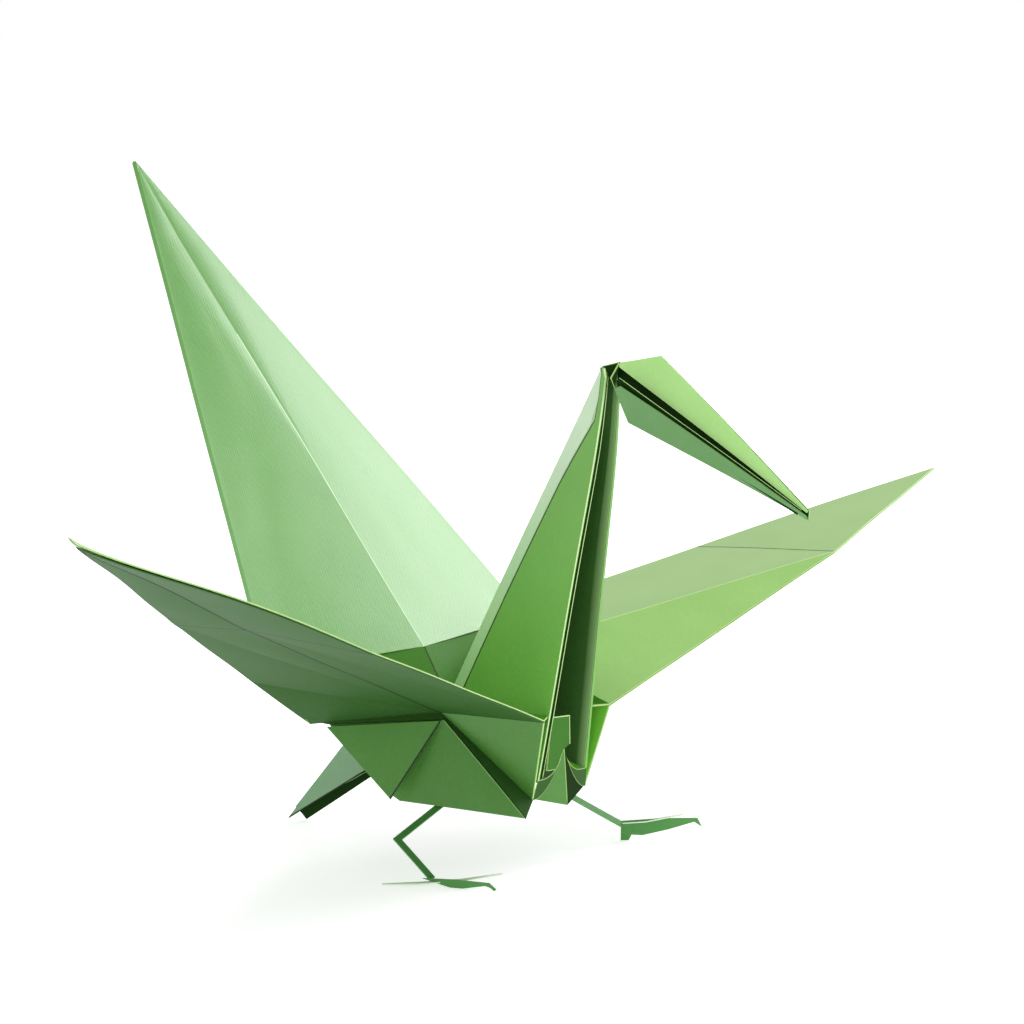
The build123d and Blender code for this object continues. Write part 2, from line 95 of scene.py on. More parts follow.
def softbox(name, away, height, azimuth, size, power):
    """An area light at this distance and height, at this azimuth round the bird, aimed at its middle."""
    light = bpy.data.lights.new(name, "AREA")
    light.shape = "DISK"
    light.size, light.energy = size, power
    lamp = bpy.data.objects.new(name, light)
    turn = math.radians(azimuth)
    lamp.location = (away * math.cos(turn), away * math.sin(turn), height)
    lamp.rotation_mode = "QUATERNION"
    lamp.rotation_quaternion = (Vector((0, 0, 0.05)) - lamp.location).to_track_quat("-Z", "Y")
    bpy.context.scene.collection.objects.link(lamp)
    return lamp


world = bpy.data.worlds.new("white_surround")
bpy.context.scene.world = world
world.use_nodes = True
world.node_tree.nodes.clear()
surround = world.node_tree.nodes.new("ShaderNodeBackground")
surround.inputs["Color"].default_value = (1.0, 1.0, 1.0, 1.0)
surround.inputs["Strength"].default_value = 0.62
backdrop = world.node_tree.nodes.new("ShaderNodeBackground")
backdrop.inputs["Color"].default_value = (1.0, 1.0, 1.0, 1.0)
backdrop.inputs["Strength"].default_value = 1.0
seen = world.node_tree.nodes.new("ShaderNodeLightPath")
either = world.node_tree.nodes.new("ShaderNodeMixShader")
sky = world.node_tree.nodes.new("ShaderNodeOutputWorld")
world.node_tree.links.new(seen.outputs["Is Camera Ray"], either.inputs[0])
world.node_tree.links.new(surround.outputs[0], either.inputs[1])
world.node_tree.links.new(backdrop.outputs[0], either.inputs[2])
world.node_tree.links.new(either.outputs[0], sky.inputs[0])

softbox("rear_softbox", away=0.75, height=0.38, azimuth=82, size=0.55, power=3.6)
softbox("top_softbox", away=0.15, height=0.85, azimuth=300, size=0.45, power=3.0)

floor_mesh = bpy.data.meshes.new("floor")
reach = 6.0
floor_mesh.from_pydata([(-reach, -reach, 0), (reach, -reach, 0), (reach, reach, 0), (-reach, reach, 0)],
                       [], [(0, 1, 2, 3)])
floor = bpy.data.objects.new("floor", floor_mesh)
bpy.context.scene.collection.objects.link(floor)
floor_paint = bpy.data.materials.new("pale_floor")
floor_paint.use_nodes = True
floor_surface = floor_paint.node_tree.nodes["Principled BSDF"]
floor_surface.inputs["Base Color"].default_value = (0.92, 0.92, 0.92, 1.0)
floor_surface.inputs["Roughness"].default_value = 0.9
floor_surface.inputs["Specular IOR Level"].default_value = 0.1
floor_surface.inputs["Emission Color"].default_value = (1.0, 1.0, 1.0, 1.0)
floor_surface.inputs["Emission Strength"].default_value = 0.56
floor_mesh.materials.append(floor_paint)

# %% [markdown]
# ## How a folded sheet becomes a mesh
# A fold pattern is a few named corners and the flat facets between them. A mesh of only those facets
# would look like plastic, because real card is never quite flat. So each facet is cut into a fine grid,
# bowed a little between its edges, and given the card's thickness, with mitred folds and a rim of its
# own along each cut edge. Neighbouring facets share the grid points on their common fold, so the sheet
# stays in one piece. Each face corner also stores its distance from the facet's edges: a distance to a
# straight edge changes evenly over a flat facet, so the shader can paint a hair-thin line of highlight or
# shade along a fold from it without needing hair-thin faces.

# %% Card
CARD = 0.30            # thickness of the card
LAYER = 0.60           # from one layer to the next where two lie together
FAR = 60.0             # stored where an edge has no line
OUTER, INNER, RIM = 0, 1, 2   # material slots of every sheet


def between(start, end, share):
    """The point at this share of the way from start to end."""
    return tuple(a + share * (b - a) for a, b in zip(start, end))


def raised(point, rise):
    """The same point, higher by rise."""
    return (point[0], point[1], point[2] + rise)


def turned_alike(loops):
    """The facets of one sheet, all turned the same way up."""
    waiting, turned = dict(enumerate(loops)), {}
    while waiting:
        fresh = [min(waiting)]
        turned[fresh[0]] = waiting.pop(fresh[0])
        while fresh:
            current = turned[fresh.pop()]
            ahead = set(zip(current, current[1:] + current[:1]))
            for key in list(waiting):
                loop = waiting[key]
                edges = set(zip(loop, loop[1:] + loop[:1]))
                if any((b, a) in ahead for a, b in edges) or ahead & edges:
                    turned[key] = waiting.pop(key)[::-1] if ahead & edges else waiting.pop(key)
                    fresh.append(key)
    return [turned[key] for key in sorted(turned)]


def facet_normal(corners):
    """Unit normal of a facet, from the sum of its fan of triangles."""
    total = sum(np.cross(b - corners[0], c - corners[0]) for b, c in zip(corners[1:-1], corners[2:]))
    return total / np.linalg.norm(total)


def fine_grid(loop, cuts):
    """Weights of the grid points of one facet over its corners, and the grid's small faces."""
    weights, index, faces = [], {}, []
    if len(loop) == 3:
        for i in range(cuts + 1):
            for j in range(cuts + 1 - i):
                index[i, j] = len(weights)
                weights.append(((cuts - i - j) * cuts, i * cuts, j * cuts))
        for i, j in index:
            if i + j < cuts:
                faces.append((index[i, j], index[i + 1, j], index[i, j + 1]))
            if i + j < cuts - 1:
                faces.append((index[i + 1, j], index[i + 1, j + 1], index[i, j + 1]))
        return weights, faces
    for i in range(cuts + 1):
        for j in range(cuts + 1):
            index[i, j] = len(weights)
            weights.append(((cuts - i) * (cuts - j), i * (cuts - j), i * j, (cuts - i) * j))
    for i in range(cuts):
        for j in range(cuts):
            faces.append((index[i, j], index[i + 1, j], index[i + 1, j + 1], index[i, j + 1]))
    return weights, faces


print("card thickness, mm:", CARD)

# %% [markdown]
# The whole bird also shares one slow, shallow warp, as a folded sheet does when its tension evens out.
# Because it is one field for every layer, layers that lie together stay together.

# %% Shared warp
warp_depth, warp_length = 0.12, 64.0


def slow_warp(points):
    """Small smooth displacement of points, the same for every piece near the same place."""
    x, y, z = (points[:, i] / warp_length * 2 * math.pi for i in range(3))
    fade = np.clip(points[:, 2] / 12.0, 0.0, 1.0)[:, None]
    return fade * warp_depth * np.stack([
        np.sin(0.7 * y + 0.9 * z + 0.4),
        np.sin(0.8 * x - 0.5 * z + 1.9),
        np.sin(0.9 * x + 0.6 * y + 2.7) + 0.4 * np.sin(1.9 * y - 1.3 * x + 0.8),
    ], axis=1)


print("shared warp, mm:", warp_depth)

# %% [markdown]
# The next cell is the sheet maker itself. Corners are looked up by name, edges with a fold angle or no
# neighbour get a pale line of painted highlight, and a name pair in `lines` sets its width: 0 for none, and
# below 0 for a dark line of painted shade, as in a valley fold or the mouth of a narrow gap.

# %% Sheet maker
def edge_lines(loops, points, names, lines, least_angle, usual):
    """Line width of every edge of a sheet: the usual on folds and cut edges unless lines says otherwise."""
    normals = [facet_normal(np.array([points[i] for i in loop])) for loop in loops]
    owners = {}
    for number, loop in enumerate(loops):
        for a, b in zip(loop, loop[1:] + loop[:1]):
            owners.setdefault(frozenset((a, b)), []).append(number)
    widths = {}
    for edge, numbers in owners.items():
        folded = len(numbers) < 2 or normals[numbers[0]] @ normals[numbers[1]] < math.cos(least_angle)
        widths[edge] = usual if folded else 0.0
    for pair, width in lines.items():
        widths[frozenset(names[name] for name in pair.split())] = width
    return widths, normals


def distances(points, corners, widths):
    """Distance of each point from each facet edge, stretched where its line is thinner."""
    columns = [np.full(len(points), FAR)] * (4 - len(corners))
    for i, width in enumerate(widths):
        start, way = corners[i], corners[(i + 1) % len(corners)] - corners[i]
        gap = np.linalg.norm(np.cross(points - start, way / np.linalg.norm(way)), axis=1)
        columns.append(gap / width if width > 0 else np.full(len(points), FAR))
    return np.stack(columns, axis=1)


def bow(shares, depth):
    """How far each grid point of a facet bows out: nothing on an edge, depth in the middle."""
    return depth * np.prod(shares * shares.shape[1], axis=1)


def sheet_sides(points, faces, thickness):
    """Vertices of both sides of a sheet, from its mid surface, with mitred folds."""
    normals, counts, sums = np.zeros_like(points), np.zeros(len(points)), np.zeros(len(points))
    flat = []
    for face in faces:
        corner = points[list(face)]
        normal = np.cross(corner[1] - corner[0], corner[-1] - corner[0])
        flat.append(normal / max(np.linalg.norm(normal), 1e-12))
    for face, normal in zip(faces, flat):
        for i in face:
            normals[i] += normal
    normals /= np.maximum(np.linalg.norm(normals, axis=1), 1e-9)[:, None]
    for face, normal in zip(faces, flat):
        for i in face:
            sums[i] += normals[i] @ normal
            counts[i] += 1
    reach = thickness / 2 / np.maximum(sums / np.maximum(counts, 1), 0.5)
    return points + normals * reach[:, None], points - normals * reach[:, None]


def with_facing(loops, points, facing):
    """The loops turned over if the first facet looks away from facing."""
    first = facet_normal(np.array([points[i] for i in loops[0]]))
    return loops if first @ np.array(facing) > 0 else [loop[::-1] for loop in loops]


def fold_sheet(name, corners, facets, cuts=14, bows=0.0, lines=None, least_angle=4.0, thickness=CARD,
               ripple=None, sharp=3.5, facing=(0, 0, 1), usual=0.0):
    """A sheet of card folded at named corners, as one Blender mesh with three material slots."""
    names = {key: i for i, key in enumerate(corners)}
    points = [np.array(value, float) for value in corners.values()]
    loops = turned_alike([[names[key] for key in facet.split()] for facet in facets])
    loops = with_facing(loops, points, facing)
    widths, normals = edge_lines(loops, points, names, lines or {}, math.radians(least_angle), usual)
    depths = bows if isinstance(bows, (list, tuple)) else [bows] * len(loops)
    fine, keys, faces, pale, dark, flat_map = [], {}, [], [], [], []
    for number, loop in enumerate(loops):
        around = np.array([points[i] for i in loop])
        weights, small = fine_grid(loop, cuts)
        shares = np.array(weights, float) / cuts ** 2
        place = shares @ around
        edge_widths = [widths[frozenset((a, b))] for a, b in zip(loop, loop[1:] + loop[:1])]
        pale_gaps = distances(place, around, edge_widths)
        dark_gaps = distances(place, around, [-width for width in edge_widths])
        swell = bow(shares, depths[number])
        if ripple:
            swell = swell + ripple(number, place, shares)
        local = []
        for row, share, out in zip(weights, place, swell):
            key = tuple(sorted((i, w) for i, w in zip(loop, row) if w))
            if key not in keys:
                keys[key] = len(fine)
                fine.append(share + normals[number] * out)
            local.append(keys[key])
        along = around[1] - around[0]
        along /= np.linalg.norm(along)
        across = np.cross(normals[number], along)
        for face in small:
            faces.append([local[i] for i in face])
            pale.append([pale_gaps[i] for i in face])
            dark.append([dark_gaps[i] for i in face])
            flat_map.append([((place[i] @ along), (place[i] @ across)) for i in face])
    fine = np.array(fine)
    fine = fine + slow_warp(fine)
    upper, lower = sheet_sides(fine, faces, thickness)
    return card_object(name, upper, lower, faces, (pale, dark), flat_map, sharp)


def both_sides(values):
    """Values of the upper side's face corners, and the same for the lower side, which is turned over."""
    return [list(row) for row in values] + [list(reversed(row)) for row in values]


def card_object(name, upper, lower, faces, line_gaps, flat_map, sharp):
    """The Blender object of a sheet: both sides and the rim, its fold distances and its flat map."""
    count = len(upper)
    directed = {(a, b) for face in faces for a, b in zip(face, face[1:] + face[:1])}
    polygons = [list(face) for face in faces] + [[i + count for i in reversed(face)] for face in faces]
    slots = [OUTER] * len(faces) + [INNER] * len(faces)
    gaps, flats = [both_sides(values) for values in line_gaps], both_sides(flat_map)
    for a, b in sorted(directed):
        if (b, a) not in directed:
            polygons.append([b, a, a + count, b + count])
            slots.append(RIM)
            for values in gaps:
                values.append([np.full(4, FAR)] * 4)
            flats.append([(0.0, 0.0), (1.0, 0.0), (1.0, CARD), (0.0, CARD)])
    mesh = bpy.data.meshes.new(name)
    mesh.from_pydata((np.concatenate([upper, lower]) / METRE).tolist(), [], polygons)
    mesh.polygons.foreach_set("material_index", slots)
    mesh.polygons.foreach_set("use_smooth", [True] * len(polygons))
    for key, values in zip(("fold_distance", "shade_line_distance"), gaps):
        layer = mesh.color_attributes.new(key, "FLOAT_COLOR", "CORNER")
        layer.data.foreach_set("color", np.array([c for row in values for c in row], np.float32).ravel())
    flat = mesh.uv_layers.new(name="card_flat")
    flat.data.foreach_set("uv", (np.array([c for row in flats for c in row], np.float32) / 100.0).ravel())
    mesh.set_sharp_from_angle(angle=math.radians(sharp))
    mesh.validate()
    piece = bpy.data.objects.new(name, mesh)
    bpy.context.scene.collection.objects.link(piece)
    return piece


print("sheet maker ready")

# %% [markdown]
# ## The fold line effect
# Along folds and cut edges the shader paints a pale line a fraction of a millimetre wide: a painted
# highlight for the light that a folded or cut edge catches. Along valley folds and narrow gaps it paints a
# dark line instead: painted shade. The group reads the stored edge distances, takes the smallest, roughens
# it a little, and gives masks that each material mixes in its own way.

# %% Group: fold lines
def node(tree, kind, **settings):
    """A new node with its properties set."""
    made = tree.nodes.new(kind)
    for key, value in settings.items():
        setattr(made, key, value)
    return made


def calculation(tree, operation, first, second=None):
    """A Math node fed with sockets or plain numbers; returns its output."""
    made = node(tree, "ShaderNodeMath", operation=operation)
    for socket, value in zip(made.inputs, (first, second)):
        if isinstance(value, bpy.types.NodeSocket):
            tree.links.new(value, socket)
        elif value is not None:
            socket.default_value = value
    return made.outputs[0]


def new_group(name, inputs, outputs):
    """An empty shader group with these float inputs and outputs, and its two end nodes."""
    tree = bpy.data.node_groups.new(name, "ShaderNodeTree")
    for key, value in inputs.items():
        socket = tree.interface.new_socket(key, in_out="INPUT", socket_type="NodeSocketFloat")
        socket.default_value = value
    for key in outputs:
        tree.interface.new_socket(key, in_out="OUTPUT", socket_type="NodeSocketFloat")
    return tree, node(tree, "NodeGroupInput"), node(tree, "NodeGroupOutput")


fold_lines, line_in, line_out = new_group("fold_lines", {"Width": 0.2, "Wear": 0.4, "Reach": 1.6},
                                          ["Pale", "Dark", "Highlight"])
place = node(fold_lines, "ShaderNodeTexCoord")
crumb = node(fold_lines, "ShaderNodeTexNoise")
crumb.inputs["Scale"].default_value = 900.0
crumb.inputs["Detail"].default_value = 2.0
fold_lines.links.new(place.outputs["Object"], crumb.inputs["Vector"])
crumbled = calculation(fold_lines, "SUBTRACT", crumb.outputs["Fac"], 0.5)
crumbled = calculation(fold_lines, "MULTIPLY", crumbled, line_in.outputs["Wear"])


def clamped(tree, value):
    """The value kept between 0 and 1."""
    made = node(tree, "ShaderNodeClamp")
    tree.links.new(value, made.inputs[0])
    return made.outputs[0]


def nearest_edge(tree, attribute_name):
    """The smallest of the four stored distances."""
    stored = node(tree, "ShaderNodeAttribute", attribute_name=attribute_name)
    parts = node(tree, "ShaderNodeSeparateColor")
    tree.links.new(stored.outputs["Color"], parts.inputs[0])
    nearest = calculation(tree, "MINIMUM", parts.outputs[0], parts.outputs[1])
    nearest = calculation(tree, "MINIMUM", nearest, parts.outputs[2])
    return calculation(tree, "MINIMUM", nearest, stored.outputs["Alpha"])


for attribute, mask in (("fold_distance", "Pale"), ("shade_line_distance", "Dark")):
    distance = nearest_edge(fold_lines, attribute)
    inside = calculation(fold_lines, "DIVIDE", distance, line_in.outputs["Width"])
    inside = calculation(fold_lines, "ADD", inside, crumbled)
    inside = calculation(fold_lines, "MULTIPLY", calculation(fold_lines, "SUBTRACT", 1.4, inside), 2.0)
    fold_lines.links.new(clamped(fold_lines, inside), line_out.inputs[mask])
    # Highlight: lighter towards the nearest edge, over Reach millimetres: a painted highlight on a rounded fold.
    if mask == "Pale":
        fold_highlight = calculation(fold_lines, "SUBTRACT", 1.0,
                          calculation(fold_lines, "DIVIDE", distance, line_in.outputs["Reach"]))
        fold_lines.links.new(clamped(fold_lines, fold_highlight), line_out.inputs["Highlight"])
print("group:", fold_lines.name)

# %% [markdown]
# ## The card's grain
# Craft card is pressed between woven felts, which leaves a very fine crossed grain about a third of a
# millimetre apart. Two crossed sine waves in the facet's own flat map give that, and a slower noise
# gives the cloudiness of real pulp. The group gives a height for the bump and a value for the tint.

# %% Group: card grain
card_grain, grain_in, grain_out = new_group("card_grain", {"Pitch": 0.44, "Cloud": 9.0}, ["Height", "Tint"])
flat_place = node(card_grain, "ShaderNodeUVMap", uv_map="card_flat")
split = node(card_grain, "ShaderNodeSeparateXYZ")
card_grain.links.new(flat_place.outputs[0], split.inputs[0])
waves = []
for axis in (0, 1):
    turns = calculation(card_grain, "MULTIPLY", split.outputs[axis], 100.0 * 2 * math.pi)
    turns = calculation(card_grain, "DIVIDE", turns, grain_in.outputs["Pitch"])
    waves.append(calculation(card_grain, "SINE", turns))
weave = calculation(card_grain, "MULTIPLY", waves[0], waves[1])
place = node(card_grain, "ShaderNodeTexCoord")
fibre = node(card_grain, "ShaderNodeTexNoise")
fibre.inputs["Scale"].default_value = 1400.0
fibre.inputs["Detail"].default_value = 3.0
card_grain.links.new(place.outputs["Object"], fibre.inputs["Vector"])
cloud = node(card_grain, "ShaderNodeTexNoise")
cloud_scale = calculation(card_grain, "DIVIDE", 1000.0, grain_in.outputs["Cloud"])
card_grain.links.new(cloud_scale, cloud.inputs["Scale"])
card_grain.links.new(place.outputs["Object"], cloud.inputs["Vector"])
speck = calculation(card_grain, "SUBTRACT", fibre.outputs["Fac"], 0.5)
height = calculation(card_grain, "ADD", calculation(card_grain, "MULTIPLY", weave, 0.5), speck)
card_grain.links.new(height, grain_out.inputs["Height"])
mist = calculation(card_grain, "SUBTRACT", cloud.outputs["Fac"], 0.5)
tint = calculation(card_grain, "MULTIPLY", weave, 0.34)
tint = calculation(card_grain, "ADD", tint, calculation(card_grain, "MULTIPLY", speck, 0.5))
tint = calculation(card_grain, "ADD", tint, calculation(card_grain, "MULTIPLY", mist, 0.6))
card_grain.links.new(calculation(card_grain, "ADD", tint, 0.5), grain_out.inputs["Tint"])
print("group:", card_grain.name)

# %% [markdown]
# ## Green card
# One recipe makes every card finish: a darker and a lighter green mixed by the grain's tint, a pale line
# of painted highlight on the folds, dark lines of painted shade, and a satin coat whose reflection grows at
# grazing angles. Facets of the real bird differ in green partly because some show the sheet's face and some
# its back, and partly by light and shade: several finishes below are lit or shaded copies of the same card,
# with painted light or painted shade in their greens, and some change with height as a painted gradient of
# light. So the recipe takes its two greens, its line colour and its roughness.

# %% Card recipe
def mixed(tree, mask, first, second):
    """A colour mix; first and second are colours or sockets. Returns the result socket."""
    made = node(tree, "ShaderNodeMix", data_type="RGBA")
    tree.links.new(mask, made.inputs["Factor"])
    for socket, value in zip((made.inputs[6], made.inputs[7]), (first, second)):
        if isinstance(value, bpy.types.NodeSocket):
            tree.links.new(value, socket)
        else:
            socket.default_value = value
    return made.outputs[2]


def height_share(tree, low, high):
    """How far up the bird a point is, from 0 at low to 1 at high, in millimetres."""
    place = node(tree, "ShaderNodeTexCoord")
    parts = node(tree, "ShaderNodeSeparateXYZ")
    tree.links.new(place.outputs["Object"], parts.inputs[0])
    share = calculation(tree, "SUBTRACT", calculation(tree, "MULTIPLY", parts.outputs[2], METRE), low)
    return clamped(tree, calculation(tree, "DIVIDE", share, high - low))


def card(name, deep, light, line, line_width=0.10, roughness=0.42, grain=0.35, specular=0.5, fold_highlight=0.0, fade=None):
    """Green card: grain, cloudiness, pale lines of painted highlight on folds, dark lines of painted shade, an
    optional painted gradient of light with height (fade), an optional painted highlight near folds (fold_highlight)
    and a satin surface.
    """
    material = bpy.data.materials.new(name)
    material.use_nodes = True
    tree = material.node_tree
    surface = tree.nodes["Principled BSDF"]
    texture = node(tree, "ShaderNodeGroup", node_tree=card_grain)
    folds = node(tree, "ShaderNodeGroup", node_tree=fold_lines)
    folds.inputs["Width"].default_value = line_width
    green = mixed(tree, texture.outputs["Tint"], colour(*deep), colour(*light))
    # fade paints light and shade by height: from low to high the green turns to the shade colour, a painted gradient
    # of light.
    if fade:
        shade, low, high = fade
        green = mixed(tree, height_share(tree, low, high), green, mixed(tree, texture.outputs["Tint"],
                      colour(*shade), colour(*(1.12 * value for value in shade))))
    # fold_highlight mixes the line colour in near the edges: a painted highlight on a rounded fold.
    if fold_highlight:
        green = mixed(tree, calculation(tree, "MULTIPLY", folds.outputs["Highlight"], fold_highlight), green, colour(*line))
    shade_lined = mixed(tree, folds.outputs["Dark"], green, colour(*(0.28 * value for value in deep)))
    lined = mixed(tree, folds.outputs["Pale"], shade_lined, colour(*line))
    tree.links.new(lined, surface.inputs["Base Color"])
    spread = calculation(tree, "MULTIPLY", texture.outputs["Tint"], 0.16)
    tree.links.new(calculation(tree, "ADD", spread, roughness - 0.08), surface.inputs["Roughness"])
    surface.inputs["Specular IOR Level"].default_value = specular
    bump = node(tree, "ShaderNodeBump")
    bump.inputs["Strength"].default_value = grain
    bump.inputs["Distance"].default_value = 0.00003
    tree.links.new(texture.outputs["Height"], bump.inputs["Height"])
    tree.links.new(bump.outputs[0], surface.inputs["Normal"])
    return material


# pale_line and soft_line are the colours of the painted highlight along folds and cut edges.
pale_line, soft_line = (202, 232, 164), (150, 196, 116)
# Face green of the card; its fade turns it greyer up the neck: a painted gradient of light.
face_card = card("card_face", (106, 172, 62), (128, 196, 86), pale_line, fade=((112, 162, 84), 20.0, 84.0))
wing_card = card("card_wing_face", (132, 180, 84), (152, 200, 106), (196, 228, 156), specular=0.7)
# Paler green behind the left wing's crease: painted sheen.
rear_sheen_card = card("card_wing_rear", (138, 176, 102), (158, 196, 124), (196, 228, 156), specular=0.7)
# The fan's fade darkens it towards the tip: painted shade.
fan_card = card("card_fan", (108, 164, 88), (126, 182, 106), (196, 226, 184), roughness=0.34, grain=0.7,
                specular=0.75, fade=((82, 138, 58), 40.0, 118.0))
back_card = card("card_back", (72, 130, 48), (92, 150, 66), soft_line, specular=0.4)
# Underside of the wings: the card's back, darkened with painted shade, and greyer towards the tips as a painted
# gradient of light.
under_shade_card = card("card_wing_underside_shade", (45, 84, 32), (58, 99, 44), (150, 200, 120), roughness=0.6, specular=0.12,
                  fade=((54, 88, 48), 36.0, 66.0))
# Deep green of the deck between the wings: painted shade.
deck_shade_card = card("card_deck_shade", (56, 116, 18), (69, 131, 29), pale_line, roughness=0.55, specular=0.15)
# Dark green of surfaces inside folds and under layers: painted shade.
inside_shade_card = card("card_inside_shade", (46, 86, 31), (58, 101, 43), (170, 206, 120), roughness=0.6, specular=0.15)
# Inside of the far neck fold: dark green of painted shade, with a painted highlight towards the fold.
fold_card = card("card_fold_inside_shade", (38, 78, 22), (50, 92, 32), (170, 212, 140), line_width=0.04, roughness=0.6,
                 specular=0.15, fold_highlight=0.45)
# Bright green of the front panel's inner face: painted light.
front_light_card = card("card_front_inside_light", (114, 204, 54), (130, 218, 72), pale_line, roughness=0.55, specular=0.15)
# Dark green of the chest tab: painted shade.
tab_shade_card = card("card_tab_shade", (53, 110, 28), (65, 125, 39), pale_line, roughness=0.55, specular=0.12)
# Near-black green for slits, gaps and hidden sides: painted shadow.
shadow_card = card("card_shadow", (22, 48, 14), (30, 58, 20), (170, 206, 120), roughness=0.8, specular=0.05)
# Pale green of the bare spine strip: painted sheen, paler still with height.
spine_sheen_card = card("card_spine_sheen", (176, 220, 158), (190, 231, 172), pale_line, specular=0.7,
                  fade=((196, 216, 190), 30.0, 70.0))
# Greyer green of the beak: painted sheen.
beak_sheen_card = card("card_beak_sheen", (100, 146, 90), (116, 162, 106), pale_line, specular=0.5)
# Brighter green for the beak's far lip and the wing layers' hidden faces: painted light.
crest_light_card = card("card_crest_light", (160, 212, 118), (178, 226, 142), (196, 228, 156), specular=0.7)
# Greyer green of the tail: painted sheen.
tail_sheen_card = card("card_tail_sheen", (110, 152, 110), (127, 169, 125), pale_line, specular=0.5)
# Pale green of cut-edge rims: painted highlight.
edge_highlight_card = card("card_edge_highlight", (170, 208, 124), (190, 222, 148), (200, 232, 160), roughness=0.6)
leg_card = card("card_leg", (78, 142, 70), (92, 155, 83), pale_line, specular=0.2)
# Near-white green of the flat toe leaves: painted reflection.
toe_reflection_card = card("card_toe_reflection", (222, 240, 206), (233, 246, 222), pale_line)


def finished(piece, outer, inner, replaced=(), rim=None):
    """Gives a sheet its finishes, parents it to the root body, and hides the CAD pieces it stands for."""
    for material in (outer, inner, rim or edge_highlight_card):
        piece.data.materials.append(material)
    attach(piece, "root")
    if replaced:
        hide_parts(*replaced)
    print(piece.name, len(piece.data.polygons), "faces")
    return piece

# %% [markdown]
# ## The fan
# The middle of the sheet stands up behind the neck as a tall flat point of two layers. Its front has one
# crease down the middle, sharp below and rolled soft towards the tip, where nobody pressed it down. A
# ripple function adds the roll and one shallow furrow beside it.

# %% Fan
fan_tip_back = -sheet_low.x - LAYER - CARD
fan_tip_height = sheet_high.z - CARD
fan_corner = (-23.6, 35.7, 34.6)
fan_corners = {
    "tip": (-fan_tip_back, 0.0, fan_tip_height),
    "foot": (-19.2, 0.0, 34.6),
    "right": (fan_corner[0], -fan_corner[1], fan_corner[2]),
    "left": fan_corner,
    "rear_tip": (-fan_tip_back - LAYER, 0.0, fan_tip_height),
    "rear_foot": (-26.8, 0.0, 34.6),
    "rear_right": (fan_corner[0] - LAYER, -fan_corner[1], fan_corner[2]),
    "rear_left": (fan_corner[0] - LAYER, fan_corner[1], fan_corner[2]),
}
fan_corners["roll_end"] = between(fan_corners["tip"], fan_corners["foot"], 0.36)
fan_facets = [
    "roll_end tip right", "foot roll_end right", "tip roll_end left", "roll_end foot left",
    "tip right rear_right rear_tip", "tip left rear_left rear_tip",
    "rear_tip rear_right rear_foot", "rear_tip rear_left rear_foot",
]
roll_radius, roll_slope = 6.5, 0.15     # the soft roll of the upper crease: half width, and how far it turns
pinch_depth, pinch_width = 0.05, 1.7    # the shallow dent beside the roll
furrow_depth, furrow_width = 0.16, 4.2  # and the furrow near the right edge
swell_depth = 0.35                      # each face swells a little between its edges


def dent(distance, width):
    """A smooth dent: 1 in the middle, fading to 0 a few widths away."""
    return np.exp(-(distance / width) ** 2)


def fan_ripple(number, place, shares):
    """The soft roll of the upper crease, a dent beside it, and a furrow near the fan's right edge."""
    if number > 3:
        return 0.0
    tip, foot = np.array(fan_corners["tip"]), np.array(fan_corners["foot"])
    down = np.clip((place - tip) @ (foot - tip) / np.sum((foot - tip) ** 2), 0.0, 1.0)
    across = np.abs(place[:, 1]) / (fan_corner[1] * down + 0.01)      # 0 on the crease, 1 on the edge
    away = np.abs(place[:, 1])
    inward = np.clip(1.0 - across, 0.0, 1.0)
    radius = roll_radius * np.clip((0.62 - down) / 0.45, 0.0, 1.0) * np.clip(down / 0.16, 0.0, 1.0) + 0.01
    step = -roll_slope * np.clip(radius - away, 0.0, None) ** 2 / (2 * radius)
    step = step + swell_depth * np.sin(math.pi * np.clip(across, 0, 1)) * np.clip(down * 3, 0, 1) * inward ** 0.3
    if number < 2:
        fade = np.clip((down - 0.10) / 0.15, 0.0, 1.0) * np.clip((0.62 - down) / 0.25, 0.0, 1.0)
        step = step - pinch_depth * fade * dent(away - 0.36 * fan_corner[1] * down, pinch_width)
        fade = np.clip((down - 0.42) / 0.3, 0.0, 1.0) * inward
        step = step - furrow_depth * fade * 3.0 * dent(away - fan_corner[1] * (1.35 * down - 0.42), furrow_width)
    else:
        fade = np.clip((down - 0.3) / 0.3, 0.0, 1.0) * np.clip((0.99 - down) / 0.25, 0.0, 1.0) * inward
        step = step - 0.10 * fade * dent(away - fan_corner[1] * 0.45 * down, 3.4)
    return step


fan = finished(fold_sheet("fan", fan_corners, fan_facets, cuts=44, bows=[0, 0, 0, 0, 0, 0, 0.2, 0.2],
                          ripple=fan_ripple, facing=(1, 0, 1), sharp=2.2,
                          lines={"roll_end foot": 0.9}),
               fan_card, fan_card)

# %% [markdown]
# ## The wings
# Each wing is a pair of points folded up from the body, so it has two layers of card, closed along the
# trailing edge and open along the leading edge. The wings share one plan, but the outer panel of the
# right wing is bent up more than that of the left, and its under layer stops just short of the tip.

# %% Wing corners
half_span = min(sheet_high.y, -sheet_low.y) - 0.4 * CARD
root_front, root_crease = (13.8, 9.4, 27.0), (-8.2, 9.4, 26.0)
left_crease_rise = 8.2
rear_root = (-28.4, 20.0, 23.2)
neck_foot = (-14.0, 0.0, 25.8)
rump_foot = (-33.0, 0.0, 20.4)
wing_card_thickness, wing_gap = 0.20, 0.26


